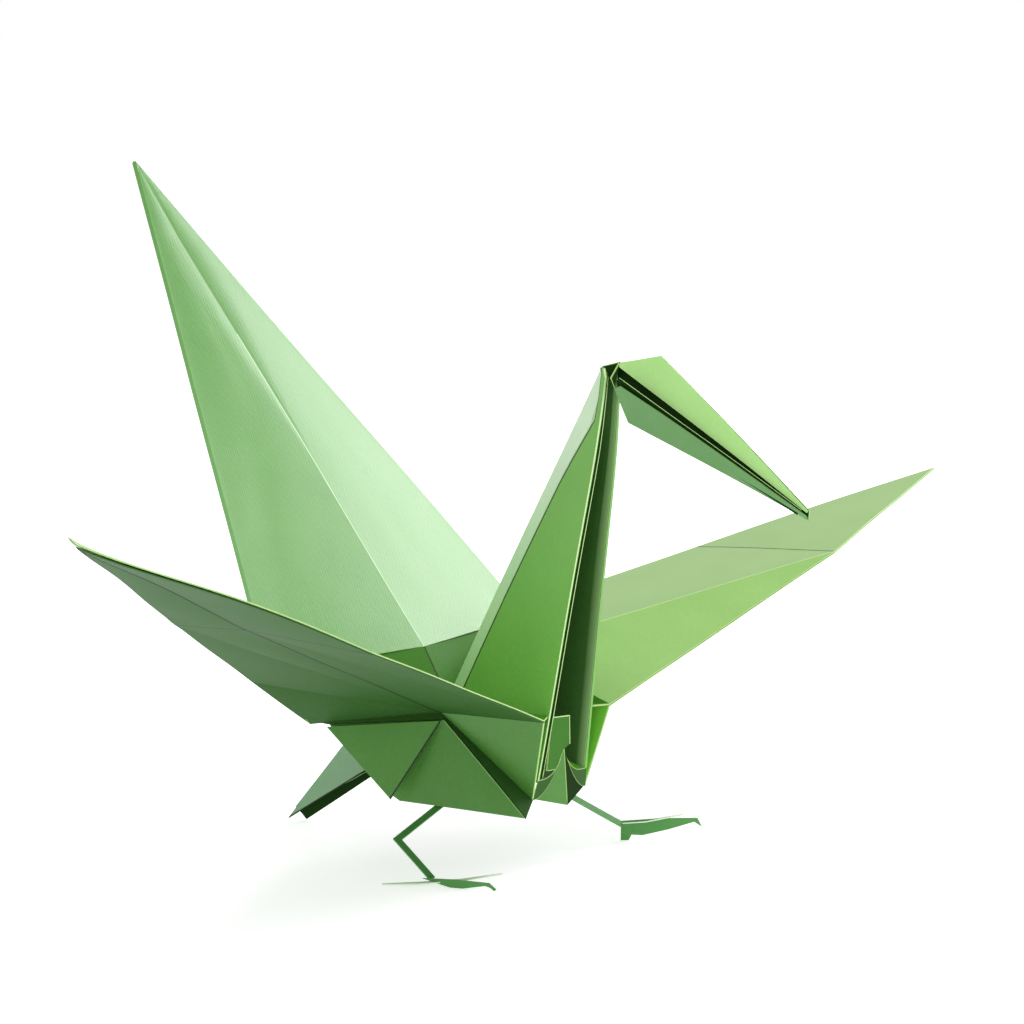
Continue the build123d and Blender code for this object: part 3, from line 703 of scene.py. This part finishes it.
def wing_corners(side):
    """Corners of one wing's upper layer; side is -1 for the right wing and 1 for the left."""
    right = side < 0
    corners = {
        "front": (root_front[0], side * root_front[1], root_front[2]),
        "crease": (root_crease[0], side * root_crease[1], root_crease[2] + (0 if right else left_crease_rise)),
        "lead": (23.0, side * 65.3, 47.4),
        "trail": (-11.6, side * 72.0, 49.6 if right else 44.4),
        "corner": (-27.2, side * 36.2, 33.4 if right else 35.8),
        "tip": (11.2, side * half_span, 70.5 if right else 56.4),
    }
    corners["cross"] = raised(between(corners["trail"], corners["lead"], 0.37), 0.9 if right else 0.0)
    return corners


edge_wave, step_depth = 0.65, 0.12      # the right wing's outer edge waves a little, and has a small dent


def wing_wave(side):
    """The slow wave of a wing's outer panel, the same for both of its layers."""
    def ripple(number, place, shares):
        if side > 0:
            return 0.0
        out = np.clip((half_span + place[:, 1]) / (half_span - 65.3), 0.0, 1.0)
        forward = np.clip((place[:, 0] + 4.0) / 24.0, 0.0, 1.0)
        wave = -edge_wave * np.sin(2 * math.pi * out ** 0.576) * forward
        return wave - step_depth * dent(out - 0.86, 0.05) * np.clip(1.0 - forward * 2.0, 0.0, 1.0)
    return ripple


right_wing_facets = [
    "front crease cross", "front cross lead", "crease corner trail", "crease trail cross",
    "lead cross tip", "cross trail tip",
]
left_wing_facets = ["front crease lead", "crease trail lead", "crease corner trail", "lead trail tip"]
# Negative widths are dark lines of painted shade along valley folds, positive ones pale lines of painted highlight.
wing_lines = {
    -1: {"crease cross": -2.0, "cross tip": -2.2, "lead cross": -1.8, "cross trail": -1.3},
    1: {"crease lead": 0.7, "lead trail": -1.6},
}
print("half span, mm:", round(half_span, 2))

# %% [markdown]
# The upper layer of each wing is a sheet of its own here. Between the wings, the fan and the neck lies
# the deck, a small valley in shadow, whose deep green is painted shade, with dark lines of painted shade in its
# folds.

# %% Upper layers and deck
def rear_facets(piece, corners):
    """Gives the faces behind the wing's long crease a paler green, a painted sheen of reflected light."""
    piece.data.materials.append(rear_sheen_card)
    crease, lead = (np.array(corners[key]) for key in ("crease", "lead"))
    tip = np.array(corners["tip"])
    for face in piece.data.polygons:
        centre = np.array(face.center) * METRE
        bend = lead if abs(centre[1]) < lead[1] else tip
        start = crease if bend is lead else lead
        share = (centre[1] - start[1]) / (bend[1] - start[1])
        limit = start[0] + share * (bend[0] - start[0])
        if face.material_index == OUTER and (centre[0] < limit or abs(centre[1]) > lead[1]):
            face.material_index = 3


for side, label in ((-1, "right"), (1, "left")):
    wing_facets = right_wing_facets if side < 0 else left_wing_facets
    corners = wing_corners(side)
    over = fold_sheet(label + "_wing_over", corners, wing_facets, cuts=24, facing=(0, 0, 1),
                      thickness=wing_card_thickness, bows=0.2, lines=wing_lines[side], ripple=wing_wave(side))
    finished(over, wing_card, crest_light_card, rim=edge_highlight_card)
    if side > 0:
        rear_facets(over, corners)
    deck_corners = {
        "fan_foot": (-19.2, 0.0, 34.6),
        "neck_foot": neck_foot,
        "fan_corner": (fan_corner[0], side * fan_corner[1], fan_corner[2]),
        "front": corners["front"],
        "crease": corners["crease"],
        "corner": corners["corner"],
        "deck_front": (11.7, side * 5.5, 27.0),
    }
    deck_facets = ["fan_foot neck_foot fan_corner", "neck_foot crease fan_corner", "neck_foot front crease",
                   "neck_foot deck_front front", "fan_corner crease corner"]
    deck = fold_sheet(label + "_deck", deck_corners, deck_facets, cuts=14, facing=(0, 0, 1),
                      lines={"neck_foot crease": -1.5, "fan_foot neck_foot": -1.5})
    finished(deck, deck_shade_card, inside_shade_card)

# %% [markdown]
# The lower layer of each wing lies just under the upper one. Under its root the side of the body starts:
# a front panel, a steep strip in its shadow, and the belly panel, which stands off a little and flares
# out below. The left belly panel is narrower than the right one, since the fold was never evened out.

# %% Lower layers
chest_foot = (9.9, 7.4, 12.6)
belly = {
    -1: {"front": (12.0, -12.0, 10.5), "rear": (-13.6, -13.8, 10.4), "hem": (-17.5, -14.2, 12.4)},
    1: {"front": (5.0, 9.8, 10.8), "rear": (-13.6, 13.8, 10.4), "hem": (-17.5, 14.2, 12.4)},
}
under_tip_short = 0.045
strip_end_share = 0.92
flap_back_share = 0.85
panel_step, flap_step = (1.3, 0.7, 1.35), (1.0, 1.2, 1.45)   # forward, out and down from the crease's root
for side, label in ((-1, "right"), (1, "left")):
    wing_facets = right_wing_facets if side < 0 else left_wing_facets
    under_corners = {name: raised(point, -wing_gap) for name, point in wing_corners(side).items()}
    under_corners["crease"] = (root_crease[0], side * root_crease[1], root_crease[2] - wing_gap)
    rear = (rear_root[0], side * rear_root[1], rear_root[2])
    under_corners["rear"] = rear
    if side < 0:
        under_corners["tip"] = raised(between(under_corners["tip"], under_corners["cross"], under_tip_short), -0.2)
    under = fold_sheet(label + "_wing_under", under_corners, wing_facets + ["crease corner rear"], cuts=24,
                       bows=-0.2, facing=(0, 0, 1), thickness=wing_card_thickness, sharp=12,
                       lines=wing_lines[side], ripple=wing_wave(side))
    finished(under, crest_light_card, under_shade_card, rim=under_shade_card if side < 0 else wing_card)

# %% Sides
for side, label in ((-1, "right"), (1, "left")):
    crease = (root_crease[0], side * root_crease[1], root_crease[2] - wing_gap)
    stand_off = (root_crease[0] + panel_step[0], side * (root_crease[1] + panel_step[1]),
                 root_crease[2] - panel_step[2])
    flap_back = between(stand_off, (rear_root[0], side * rear_root[1], rear_root[2] - 0.3), flap_back_share)
    front_corners = {
        "crease": crease,
        "front": (root_front[0], side * root_front[1], root_front[2] - wing_gap),
        "chest": (chest_foot[0], side * chest_foot[1], chest_foot[2]),
    }
    finished(fold_sheet(label + "_front_panel", front_corners, ["crease front chest"], cuts=16, bows=0.15,
                        facing=(0, side, 0), lines={"front chest": 1.2}),
             back_card, front_light_card)
    strip_corners = {"crease": crease, "chest": front_corners["chest"], "belly": belly[side]["front"],
                     "stand_off": stand_off, "back": flap_back,
                     "rear": between(crease, (rear_root[0], side * rear_root[1], rear_root[2]), strip_end_share)}
    # The strip is finished in painted shade, its hidden side and rim in painted shadow, and it reaches back under the
    # wing root to fill the gap there.
    finished(fold_sheet(label + "_shadow_strip", strip_corners,
                        ["crease chest belly stand_off", "crease stand_off back rear"], cuts=14,
                        facing=(0, side, 0)), inside_shade_card, shadow_card, rim=shadow_card)
    belly_corners = {"top": stand_off, **belly[side], "back": flap_back}
    finished(fold_sheet(label + "_belly_panel", belly_corners,
                        ["top front rear", "top rear hem", "top hem back"], cuts=16, bows=[0.15, 0.0, 0.0],
                        facing=(0, side, 0), lines={"top front": 1.0}), back_card, inside_shade_card,
             rim=back_card)

# %% [markdown]
# A pointed flap hangs from each wing root over the rear of the belly panel. It is a plain triangle, and
# the dark slit beside it is its shadow on the panel below, deepened by a dark line of painted shade along
# the flap's front edge.

# %% Flaps
for side, label in ((-1, "right"), (1, "left")):
    top = (root_crease[0] + flap_step[0], side * (root_crease[1] + flap_step[1]), root_crease[2] - flap_step[2])
    back_end = between(top, (rear_root[0], side * (rear_root[1] + 0.8), rear_root[2] - 0.6), flap_back_share)
    flap_corners = {"top": top, "back": back_end, "point": (-13.4, side * 16.6, 11.2)}
    finished(fold_sheet(label + "_flap", flap_corners, ["top back point"], cuts=20, bows=0.15,
                        facing=(0, side, -0.3), lines={"top point": -2.2}), back_card, back_card,
             rim=back_card)

# %% [markdown]
# Behind, the fan's two layers come down over the rump, which closes the body under the fan.

# %% Rump
rump_corners = {"fan_foot": (-26.8, 0.0, 34.6), "rump": rump_foot}
rump_facets = []
for side, label in ((-1, "right"), (1, "left")):
    rump_corners[label + "_fan"] = (fan_corner[0] - LAYER, side * fan_corner[1], fan_corner[2])
    rump_corners[label + "_corner"] = wing_corners(side)["corner"]
    rump_corners[label + "_rear"] = (rear_root[0], side * rear_root[1], rear_root[2])
    rump_facets += [f"fan_foot {label}_fan {label}_rear", f"{label}_fan {label}_corner {label}_rear",
                    f"fan_foot {label}_rear rump"]
finished(fold_sheet("rump", rump_corners, rump_facets, cuts=14, bows=0.2, facing=(-1, 0, 0), usual=0.6),
         fan_card, inside_shade_card)

# %% [markdown]
# ## Pleated points
# The neck, head and tail are narrow points folded lengthwise, so they are described by stations: the
# same few corners across the strip, at several places along it.

# %% Stations
def pleats(stations):
    """Named corners and facets of a strip through these stations, each with the same number of corners."""
    corners = {f"{row}_{column}": point for row, station in enumerate(stations)
               for column, point in enumerate(station)}
    facets = [f"{row}_{column} {row}_{column + 1} {row + 1}_{column + 1} {row + 1}_{column}"
              for row in range(len(stations) - 1) for column in range(len(stations[0]) - 1)]
    return corners, facets


def along(column, rows, width):
    """Line widths for the edges that run along one column of a pleated strip."""
    return {f"{row}_{column} {row + 1}_{column}": width for row in range(rows - 1)}


def curve_point(start, pull, end, share):
    """A point on a quadratic curve from start to end, drawn towards pull."""
    return between(between(start, pull, share), between(pull, end, share), share)


neck_fold_foot, neck_fold_top, head_fold = (10.5, 6.8, 16.0), (20.2, 2.75, 75.0), (20.9, 1.9, 84.6)
spine_top = (18.9, 0.0, 86.2)
neck_bend_start = between(neck_fold_foot, neck_fold_top, 0.80)
fold_line = [between(neck_fold_foot, neck_bend_start, share) for share in (0.0, 0.25, 0.5, 0.75)]
fold_line += [curve_point(neck_bend_start, neck_fold_top, head_fold, share)
              for share in (0.0, 0.2, 0.4, 0.6, 0.8, 1.0)]
fold_line.append((19.9, 0.9, 85.9))
spine_line = [between(neck_foot, spine_top, min(1.0, (point[2] - neck_fold_foot[2]) / (head_fold[2] - 15.5)))
              for point in fold_line]
neck_rows = len(fold_line)
print("neck stations:", neck_rows)

# %% [markdown]
# ## The neck
# In section the neck is an M: two outer layers, folded back at the open front, and two inner layers that
# run back to the spine. At the back the outer layers stop at a cut edge, drawn as a dark line of painted
# shade, and leave a paler strip of the spine bare, which widens just below the head; the strip's paler
# green is a painted sheen, paler still with height. Each layer is one strip of quads here, so that each can
# have its own finish. The inner
# layers ease into the front fold with a small extra corner, which rounds the fold and catches light. They are
# finished in painted shade, and the far one is lightened towards its fold by a painted highlight.

# %% Neck
strip_depth, strip_half_width, strip_lap, neck_turn = 2.2, 0.9, 0.25, 0.34
ease_depth, ease_share = 1.3, 0.3       # the small extra corner that rounds the front fold


def neck_points(side, spine, fold, taper):
    """Corners across one half of the neck, from the outer layer's cut edge to the spine."""
    slope = (fold[2] - spine[2]) / (fold[0] - spine[0])
    flat_x = spine[0] + strip_depth * taper
    cut_x = flat_x + strip_lap * taper
    half_width = strip_half_width * (0.5 + 0.5 * taper)
    ease = min(ease_depth, ease_share * fold[1])
    return {
        "cut": (cut_x, side * (half_width + LAYER * 0.7), spine[2] + slope * (cut_x - spine[0])),
        "fold": (fold[0], side * fold[1], fold[2]),
        "turn": (fold[0] - 0.05, side * (fold[1] - neck_turn), fold[2]),
        "ease": (fold[0] - ease, side * (fold[1] - neck_turn - 0.5 * ease), fold[2] - slope * ease),
        "flat": (flat_x, side * half_width, spine[2] + slope * (flat_x - spine[0])),
        "spine": (spine[0], 0.0, spine[2]),
    }


tapers = [1.0, 1.0, 1.0, 1.05, 1.1, 1.2, 1.35, 1.5, 0.97, 0.35, 0.1]
for side, label in ((-1, "right"), (1, "left")):
    rows = [neck_points(side, spine, fold, taper) for spine, fold, taper in zip(spine_line, fold_line, tapers)]
    outer_corners, outer_facets = pleats([[row["cut"], row["fold"], row["turn"]] for row in rows])
    finished(fold_sheet(f"neck_{label}_outer", outer_corners, outer_facets, cuts=8, facing=(0, side, 0),
                        least_angle=20, thickness=0.24,
                        lines={**along(1, neck_rows, 1.0 if side < 0 else 0.0), **along(0, neck_rows, -1.8)}),
             face_card, inside_shade_card, rim=back_card)
    inner_corners, inner_facets = pleats([[row["turn"], row["ease"], row["flat"]] for row in rows])
    finished(fold_sheet(f"neck_{label}_inner", inner_corners, inner_facets, cuts=8, facing=(0, -side, 0),
                        least_angle=20, thickness=0.2, sharp=50, lines=along(0, neck_rows, 1.0)),
             inside_shade_card if side < 0 else fold_card, face_card, rim=face_card)
    strip_corners, strip_facets = pleats([[row["flat"], row["spine"]] for row in rows])
    finished(fold_sheet(f"spine_{label}", strip_corners, strip_facets, cuts=6, facing=(-1, side, 0),
                        least_angle=20), spine_sheen_card, inside_shade_card, rim=spine_sheen_card)

# %% [markdown]
# Inside the right half a lining strip, finished in painted shade, shows as a second thin line beside the front fold:
# the painted highlight of its rim.

# %% Neck lining
lining_inset, lining_inset_share, lining_depth_share = 1.7, 0.6, 0.45
lining_rows = []
for spine, fold in zip(spine_line, fold_line):
    inset = min(lining_inset, fold[1] * lining_inset_share)
    front = (fold[0] - 0.3, inset - fold[1], fold[2])
    deep = between((fold[0], LAYER - fold[1], fold[2]), spine, lining_depth_share)
    lining_rows.append([front, (deep[0], -abs(deep[1]), deep[2])])
lining_corners, lining_facets = pleats(lining_rows)
finished(fold_sheet("neck_lining", lining_corners, lining_facets, cuts=8, facing=(0, 1, 0), least_angle=20,
                    thickness=0.2), inside_shade_card, inside_shade_card, rim=edge_highlight_card)

# %% [markdown]
# ## Head and beak
# The end of the neck point is bent forward and down. It is a V open upwards, with the far side higher,
# and layers turned in along both edges, which make the dark slit with a bright line in it: the inner layer
# in the slit is finished in painted shadow, and the far lip in painted light. The head's hidden sides are
# also painted shadow. A small four-cornered piece joins its far side to the neck, where the fold would
# otherwise stand open.

# %% Head
crest, brow, jaw, cheek = (29.3, 2.2, 88.4), (21.2, 1.9, 86.7), (24.2, 0.0, 77.2), (31.5, 1.6, 79.5)
beak_tip = (sheet_high.x - CARD, 0.45, 64.5)


def on_jaw(x):
    """The point of the beak's throat line at this x."""
    share = (x - jaw[0]) / (beak_tip[0] - jaw[0])
    return (x, 0.0, jaw[2] + share * (beak_tip[2] - 0.7 - jaw[2]))


head_right = [
    [(22.8, -2.0, 82.9), jaw],
    [(23.9, -1.98, 83.4), on_jaw(26.0)],
    [(cheek[0], -cheek[1], cheek[2]), on_jaw(32.5)],
    [(beak_tip[0], -beak_tip[1], beak_tip[2] - 0.1), on_jaw(beak_tip[0] + 0.2)],
]
head_left = [
    [brow, (jaw[0], 0.12, jaw[2])],
    [crest, on_jaw(31.5)],
    [(beak_tip[0], beak_tip[1], beak_tip[2] + 0.7), on_jaw(beak_tip[0] + 0.2)],
]
corners, facets = pleats(head_right)
finished(fold_sheet("head_right", corners, facets, cuts=16, facing=(0, -1, 0), bows=0.03, least_angle=12,
                    thickness=0.22), beak_sheen_card, shadow_card, rim=back_card)
corners, facets = pleats(head_left)
finished(fold_sheet("head_left", corners, facets, cuts=16, facing=(0, 1, 0), bows=0.03, least_angle=12,
                    thickness=0.22), beak_sheen_card, shadow_card, rim=crest_light_card)
inner_right = [
    [(22.9, -1.7, 84.1), (23.4, -1.2, 81.7)],
    [(23.4, -1.5, 84.7), (24.6, -0.8, 81.3)],
    [(35.5, -0.95, 77.9), (35.5, -0.5, 74.6)],
    [(58.8, -0.3, 65.3), (58.0, -0.2, 64.4)],
]
corners, facets = pleats(inner_right)
finished(fold_sheet("beak_inner_layer", corners, facets, cuts=12, facing=(0, -1, 0), least_angle=12,
                    thickness=0.16), shadow_card, shadow_card)
lip_left = [
    [(brow[0], brow[1] - 0.1, brow[2] + 0.1), (21.0, 1.2, 86.4)],
    [(crest[0], crest[1] - 0.2, crest[2]), (29.4, 0.9, 81.8)],
    [(59.8, 0.25, 65.15), (59.6, 0.1, 64.8)],
]
corners, facets = pleats(lip_left)
finished(fold_sheet("beak_left_lip", corners, facets, cuts=14, facing=(0, -1, 0), least_angle=12,
                    thickness=0.2), crest_light_card, shadow_card, rim=crest_light_card)
root_corners = {
    "brow": (21.3, 1.75, 86.6), "jaw": (22.9, 1.0, 81.6), "neck": (20.5, 1.85, 82.2), "top": (20.3, 1.7, 85.6),
}
finished(fold_sheet("head_root", root_corners, ["brow jaw neck top"], cuts=10, facing=(0, 1, 0),
                    thickness=0.16), face_card, shadow_card, rim=shadow_card)
print("head done")

# %% [markdown]
# Between the neck and the head the sheet turns over in two tiny facets. They close the top of the fold
# and show as a dark notch with a pale edge: the notch is finished in painted shadow, and the edge is a pale
# line of painted highlight.

# %% Nape
nape_corners = {
    "spine": (18.9, -0.1, 86.3), "brow": (21.2, 1.7, 87.0), "inside": (21.0, 0.7, 84.0), "throat": (21.4, -1.2, 84.4),
    "cheek": (22.6, -1.75, 82.8),
}
finished(fold_sheet("nape", nape_corners, ["spine brow inside", "brow throat inside", "brow throat cheek"], cuts=8,
                    facing=(0, -1, 0), lines={"spine brow": 1.2, "brow throat": 1.2, "throat cheek": 1.2},
                    thickness=0.16, sharp=20), shadow_card, shadow_card, rim=shadow_card)

# %% [markdown]
# ## Chest
# Under the neck the sheet closes in two curved gussets that meet at an apex, with a small keel below and
# a loose tab of card standing in the opening. The gussets are curved folds, so they are drawn with power
# curves and no lines between their steps.

# %% Chest
chest_apex, keel_foot = (10.9, 0.0, 20.4), (11.6, 0.0, 10.8)


def arch(foot, power, side, steps=12):
    """Points of a curved fold from the side of the chest up to its apex."""
    points = []
    for i in range(steps + 1):
        share = i / steps
        rise = foot[2] + (chest_apex[2] - foot[2]) * share ** power
        points.append((foot[0] + (chest_apex[0] - foot[0]) * share, side * foot[1] * (1 - share), rise))
    return points


for side, label in ((-1, "right"), (1, "left")):
    upper, lower = arch(neck_fold_foot, 3.2, side), arch(chest_foot, 1.9, side)
    upper[-1] = raised(upper[-1], 0.25)
    corners, facets = pleats([upper, lower])
    steps = len(upper)
    edges = {f"{row}_{i} {row}_{i + 1}": 0.8 for row in (0, 1) for i in range(steps - 1)}
    # The gussets are finished in painted shade.
    finished(fold_sheet(f"gusset_{label}", corners, facets, cuts=4, facing=(1, 0, 0.4), least_angle=40, sharp=30,
                        lines=edges, thickness=0.2), inside_shade_card, inside_shade_card)
    corners = {str(i): point for i, point in enumerate(lower)}
    corners["keel"] = keel_foot
    facets = [f"{i} {i + 1} keel" for i in range(1, len(lower) - 1)]
    ridge = {f"{len(lower) - 1} keel": 0.8}
    # The left keel is finished in painted shadow; the ridge carries a pale line of painted highlight.
    finished(fold_sheet(f"keel_{label}", corners, facets, cuts=8, facing=(1, side, 0), least_angle=40, sharp=30,
                        lines=ridge, thickness=0.2), back_card if side < 0 else shadow_card, shadow_card)
tab_corners = {
    "top_in": (11.4, -4.0, 26.6), "top_out": (11.4, 0.9, 26.2), "side": (11.2, 1.25, 21.2),
    "apex": (11.0, -0.3, 20.5), "hem": (10.9, -2.8, 17.3), "heel": (10.9, -4.9, 17.4),
}
# The tab is finished in painted shade, with pale lines of painted highlight on its top and side edges.
finished(fold_sheet("chest_tab", tab_corners, ["top_in top_out side apex", "top_in apex hem heel"], cuts=10,
                    facing=(1, 0, 0), lines={"top_in top_out": 1.4, "top_out side": 1.4, "hem heel": 0.8}),
         tab_shade_card, shadow_card)

# %% [markdown]
# ## Tail
# The tail is one more pleated point, a V open downwards with a sharp tip on each side, and it rests on
# the ground behind the bird.

# %% Tail
tail_corners = {
    "right_root": (-19.0, -6.6, 16.6), "root": (-32.2, 0.0, 21.4), "left_root": (-19.0, 6.6, 15.0),
    "right_mid": (-29.4, -3.2, 12.4), "mid": (-37.4, 0.0, 15.2), "left_mid": (-29.4, 3.2, 12.3),
    "tip": (-50.4, -0.3, 0.15), "left_tip": (-47.0, 0.7, 0.2),
}
tail_corners["notch"] = between(tail_corners["mid"], tail_corners["tip"], 0.85)
tail_facets = ["right_root root mid right_mid", "root left_root left_mid mid", "right_mid mid notch",
               "right_mid notch tip", "mid left_mid left_tip", "mid left_tip notch"]
# The tail's greyer green is a painted sheen; its hidden side is painted shadow, and its lower edges carry dark lines
# of painted shade.
finished(fold_sheet("tail", tail_corners, tail_facets, cuts=16, facing=(-1, -1, 0),
                    lines={"right_root right_mid": -1.2, "right_mid tip": -1.2}), tail_sheen_card, shadow_card, rim=shadow_card)
inner_tail = {
    "root": (-19.6, -5.4, 16.0), "root_high": (-26.0, -2.0, 18.0), "mid": (-29.8, -2.2, 12.0),
    "mid_high": (-33.6, -0.9, 14.0), "tip": (-45.5, -0.2, 3.6),
}
finished(fold_sheet("tail_inner_layer", inner_tail, ["root root_high mid_high mid", "mid mid_high tip"], cuts=12,
                    facing=(-1, -1, 0), thickness=0.2), shadow_card, shadow_card, rim=back_card)

# %% [markdown]
# ## Legs and feet
# The legs are narrow strips cut from the same card. Each foot is two small leaves: one lies almost flat
# and is painted pale, a painted reflection of the light it catches from above, and one stands on edge and ends in a
# claw.

# %% Strips and leaves
leg_width = 1.15


def cut_strip(path, width, flat_to):
    """Stations of a strip along a path of points, lying square to flat_to."""
    normal = Vector(flat_to).normalized()
    points = [Vector(p) for p in path]
    stations = []
    for i, point in enumerate(points):
        ways = [(points[j + 1] - points[j]).normalized() for j in (i - 1, i) if 0 <= j < len(points) - 1]
        sides = [normal.cross(way).normalized() for way in ways]
        middle = sum(sides[1:], sides[0]).normalized()
        reach = width / 2 / middle.dot(sides[0])
        stations.append([tuple(point + middle * reach), tuple(point - middle * reach)])
    return stations


def leaf_outline(ankle, heading, outline):
    """Corners of a leaf that stands on edge: outline gives distance ahead of the ankle, and height."""
    turn = math.radians(heading)
    return [(ankle[0] + ahead * math.cos(turn), ankle[1] + ahead * math.sin(turn), height)
            for ahead, height in outline]


def leaf_stations(ankle, heading, rows):
    """Stations of a leaf that lies flat: rows give distance ahead of the ankle, height and width."""
    turn = math.radians(heading)
    stations = []
    for ahead, height, width in rows:
        x, y = ankle[0] + ahead * math.cos(turn), ankle[1] + ahead * math.sin(turn)
        dx, dy = -math.sin(turn) * width / 2, math.cos(turn) * width / 2
        stations.append([(x - dx, y - dy, height), (x + dx, y + dy, height)])
    return stations


print("strip width, mm:", leg_width)

# %% Legs
right_hip, right_knee, right_ankle = (-6.2, -11.5, 10.5), (-7.0, -22.6, 6.2), (1.6, -24.0, 1.0)
left_hip, left_ankle = (4.4, 9.2, 10.3), (7.6, 21.6, 3.0)
knee_across = (Vector(right_knee) - Vector(right_hip)).cross(Vector(right_ankle) - Vector(right_knee))
for name, path, flat_to in (("right_leg", [right_hip, right_knee, right_ankle], tuple(knee_across)),
                            ("left_leg", [left_hip, left_ankle], (1.0, 0.3, 0.4))):
    corners, facets = pleats(cut_strip(path, leg_width, flat_to))
    finished(fold_sheet(name + "_strip", corners, facets, cuts=10, facing=(1, -1, 0.4)),
             leg_card, leg_card, [name], rim=leg_card)

# %% Feet
feet = {
    "right_foot": ((right_ankle[0] + 0.5, right_ankle[1] - 0.9), 36.0, 18.0,
                   [(-8.2, 0.25, 0.3), (-2.0, 0.45, 1.2), (5.0, 1.0, 1.2), (11.9, 2.1, 0.3)],
                   [(-1.6, 1.2), (1.2, 0.5), (3.4, 0.0), (5.6, 0.0), (9.6, 0.75), (10.5, 0.5), (11.2, 0.0),
                    (11.6, 0.3), (10.3, 1.3), (4.0, 1.4)]),
    "left_foot": ((left_ankle[0] + 0.3, left_ankle[1] + 0.9), 40.0, 40.0,
                  [(-0.8, 3.1, 0.6), (3.5, 3.4, 1.2), (9.9, 4.5, 0.3)],
                  [(-0.9, 3.5), (-0.9, 0.0), (0.5, 0.0), (1.0, 1.0), (3.0, 0.9), (7.5, 1.9), (12.0, 3.2), (13.4, 2.3),
                   (12.6, 3.9), (6.0, 3.9)]),
}
claw_facets = {
    "right_foot": ["0 1 9", "9 1 2 3", "9 3 4 8", "8 4 5", "8 5 7", "5 6 7"],
    "left_foot": ["0 1 2 3", "0 3 4 9", "9 4 5", "9 5 6 8", "8 6 7"],
}
for name, (ankle, flat_heading, edge_heading, rows, outline) in feet.items():
    corners, facets = pleats(leaf_stations(ankle, flat_heading, rows))
    flat_leaf = fold_sheet(name + "_flat_leaf", corners, facets, cuts=8, facing=(0, 0, 1), thickness=0.2)
    finished(flat_leaf, toe_reflection_card, leg_card, rim=toe_reflection_card)
    points = leaf_outline(ankle, edge_heading, outline)
    middle_points = {str(i): p for i, p in enumerate(points)}
    edge_leaf = fold_sheet(name + "_claw_leaf", middle_points, claw_facets[name], cuts=6, facing=(1, -1, 0),
                           thickness=0.2)
    finished(edge_leaf, leg_card, leg_card, [name], rim=leg_card)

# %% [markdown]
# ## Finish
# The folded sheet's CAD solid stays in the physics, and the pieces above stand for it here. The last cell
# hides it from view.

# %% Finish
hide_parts("folded_sheet")
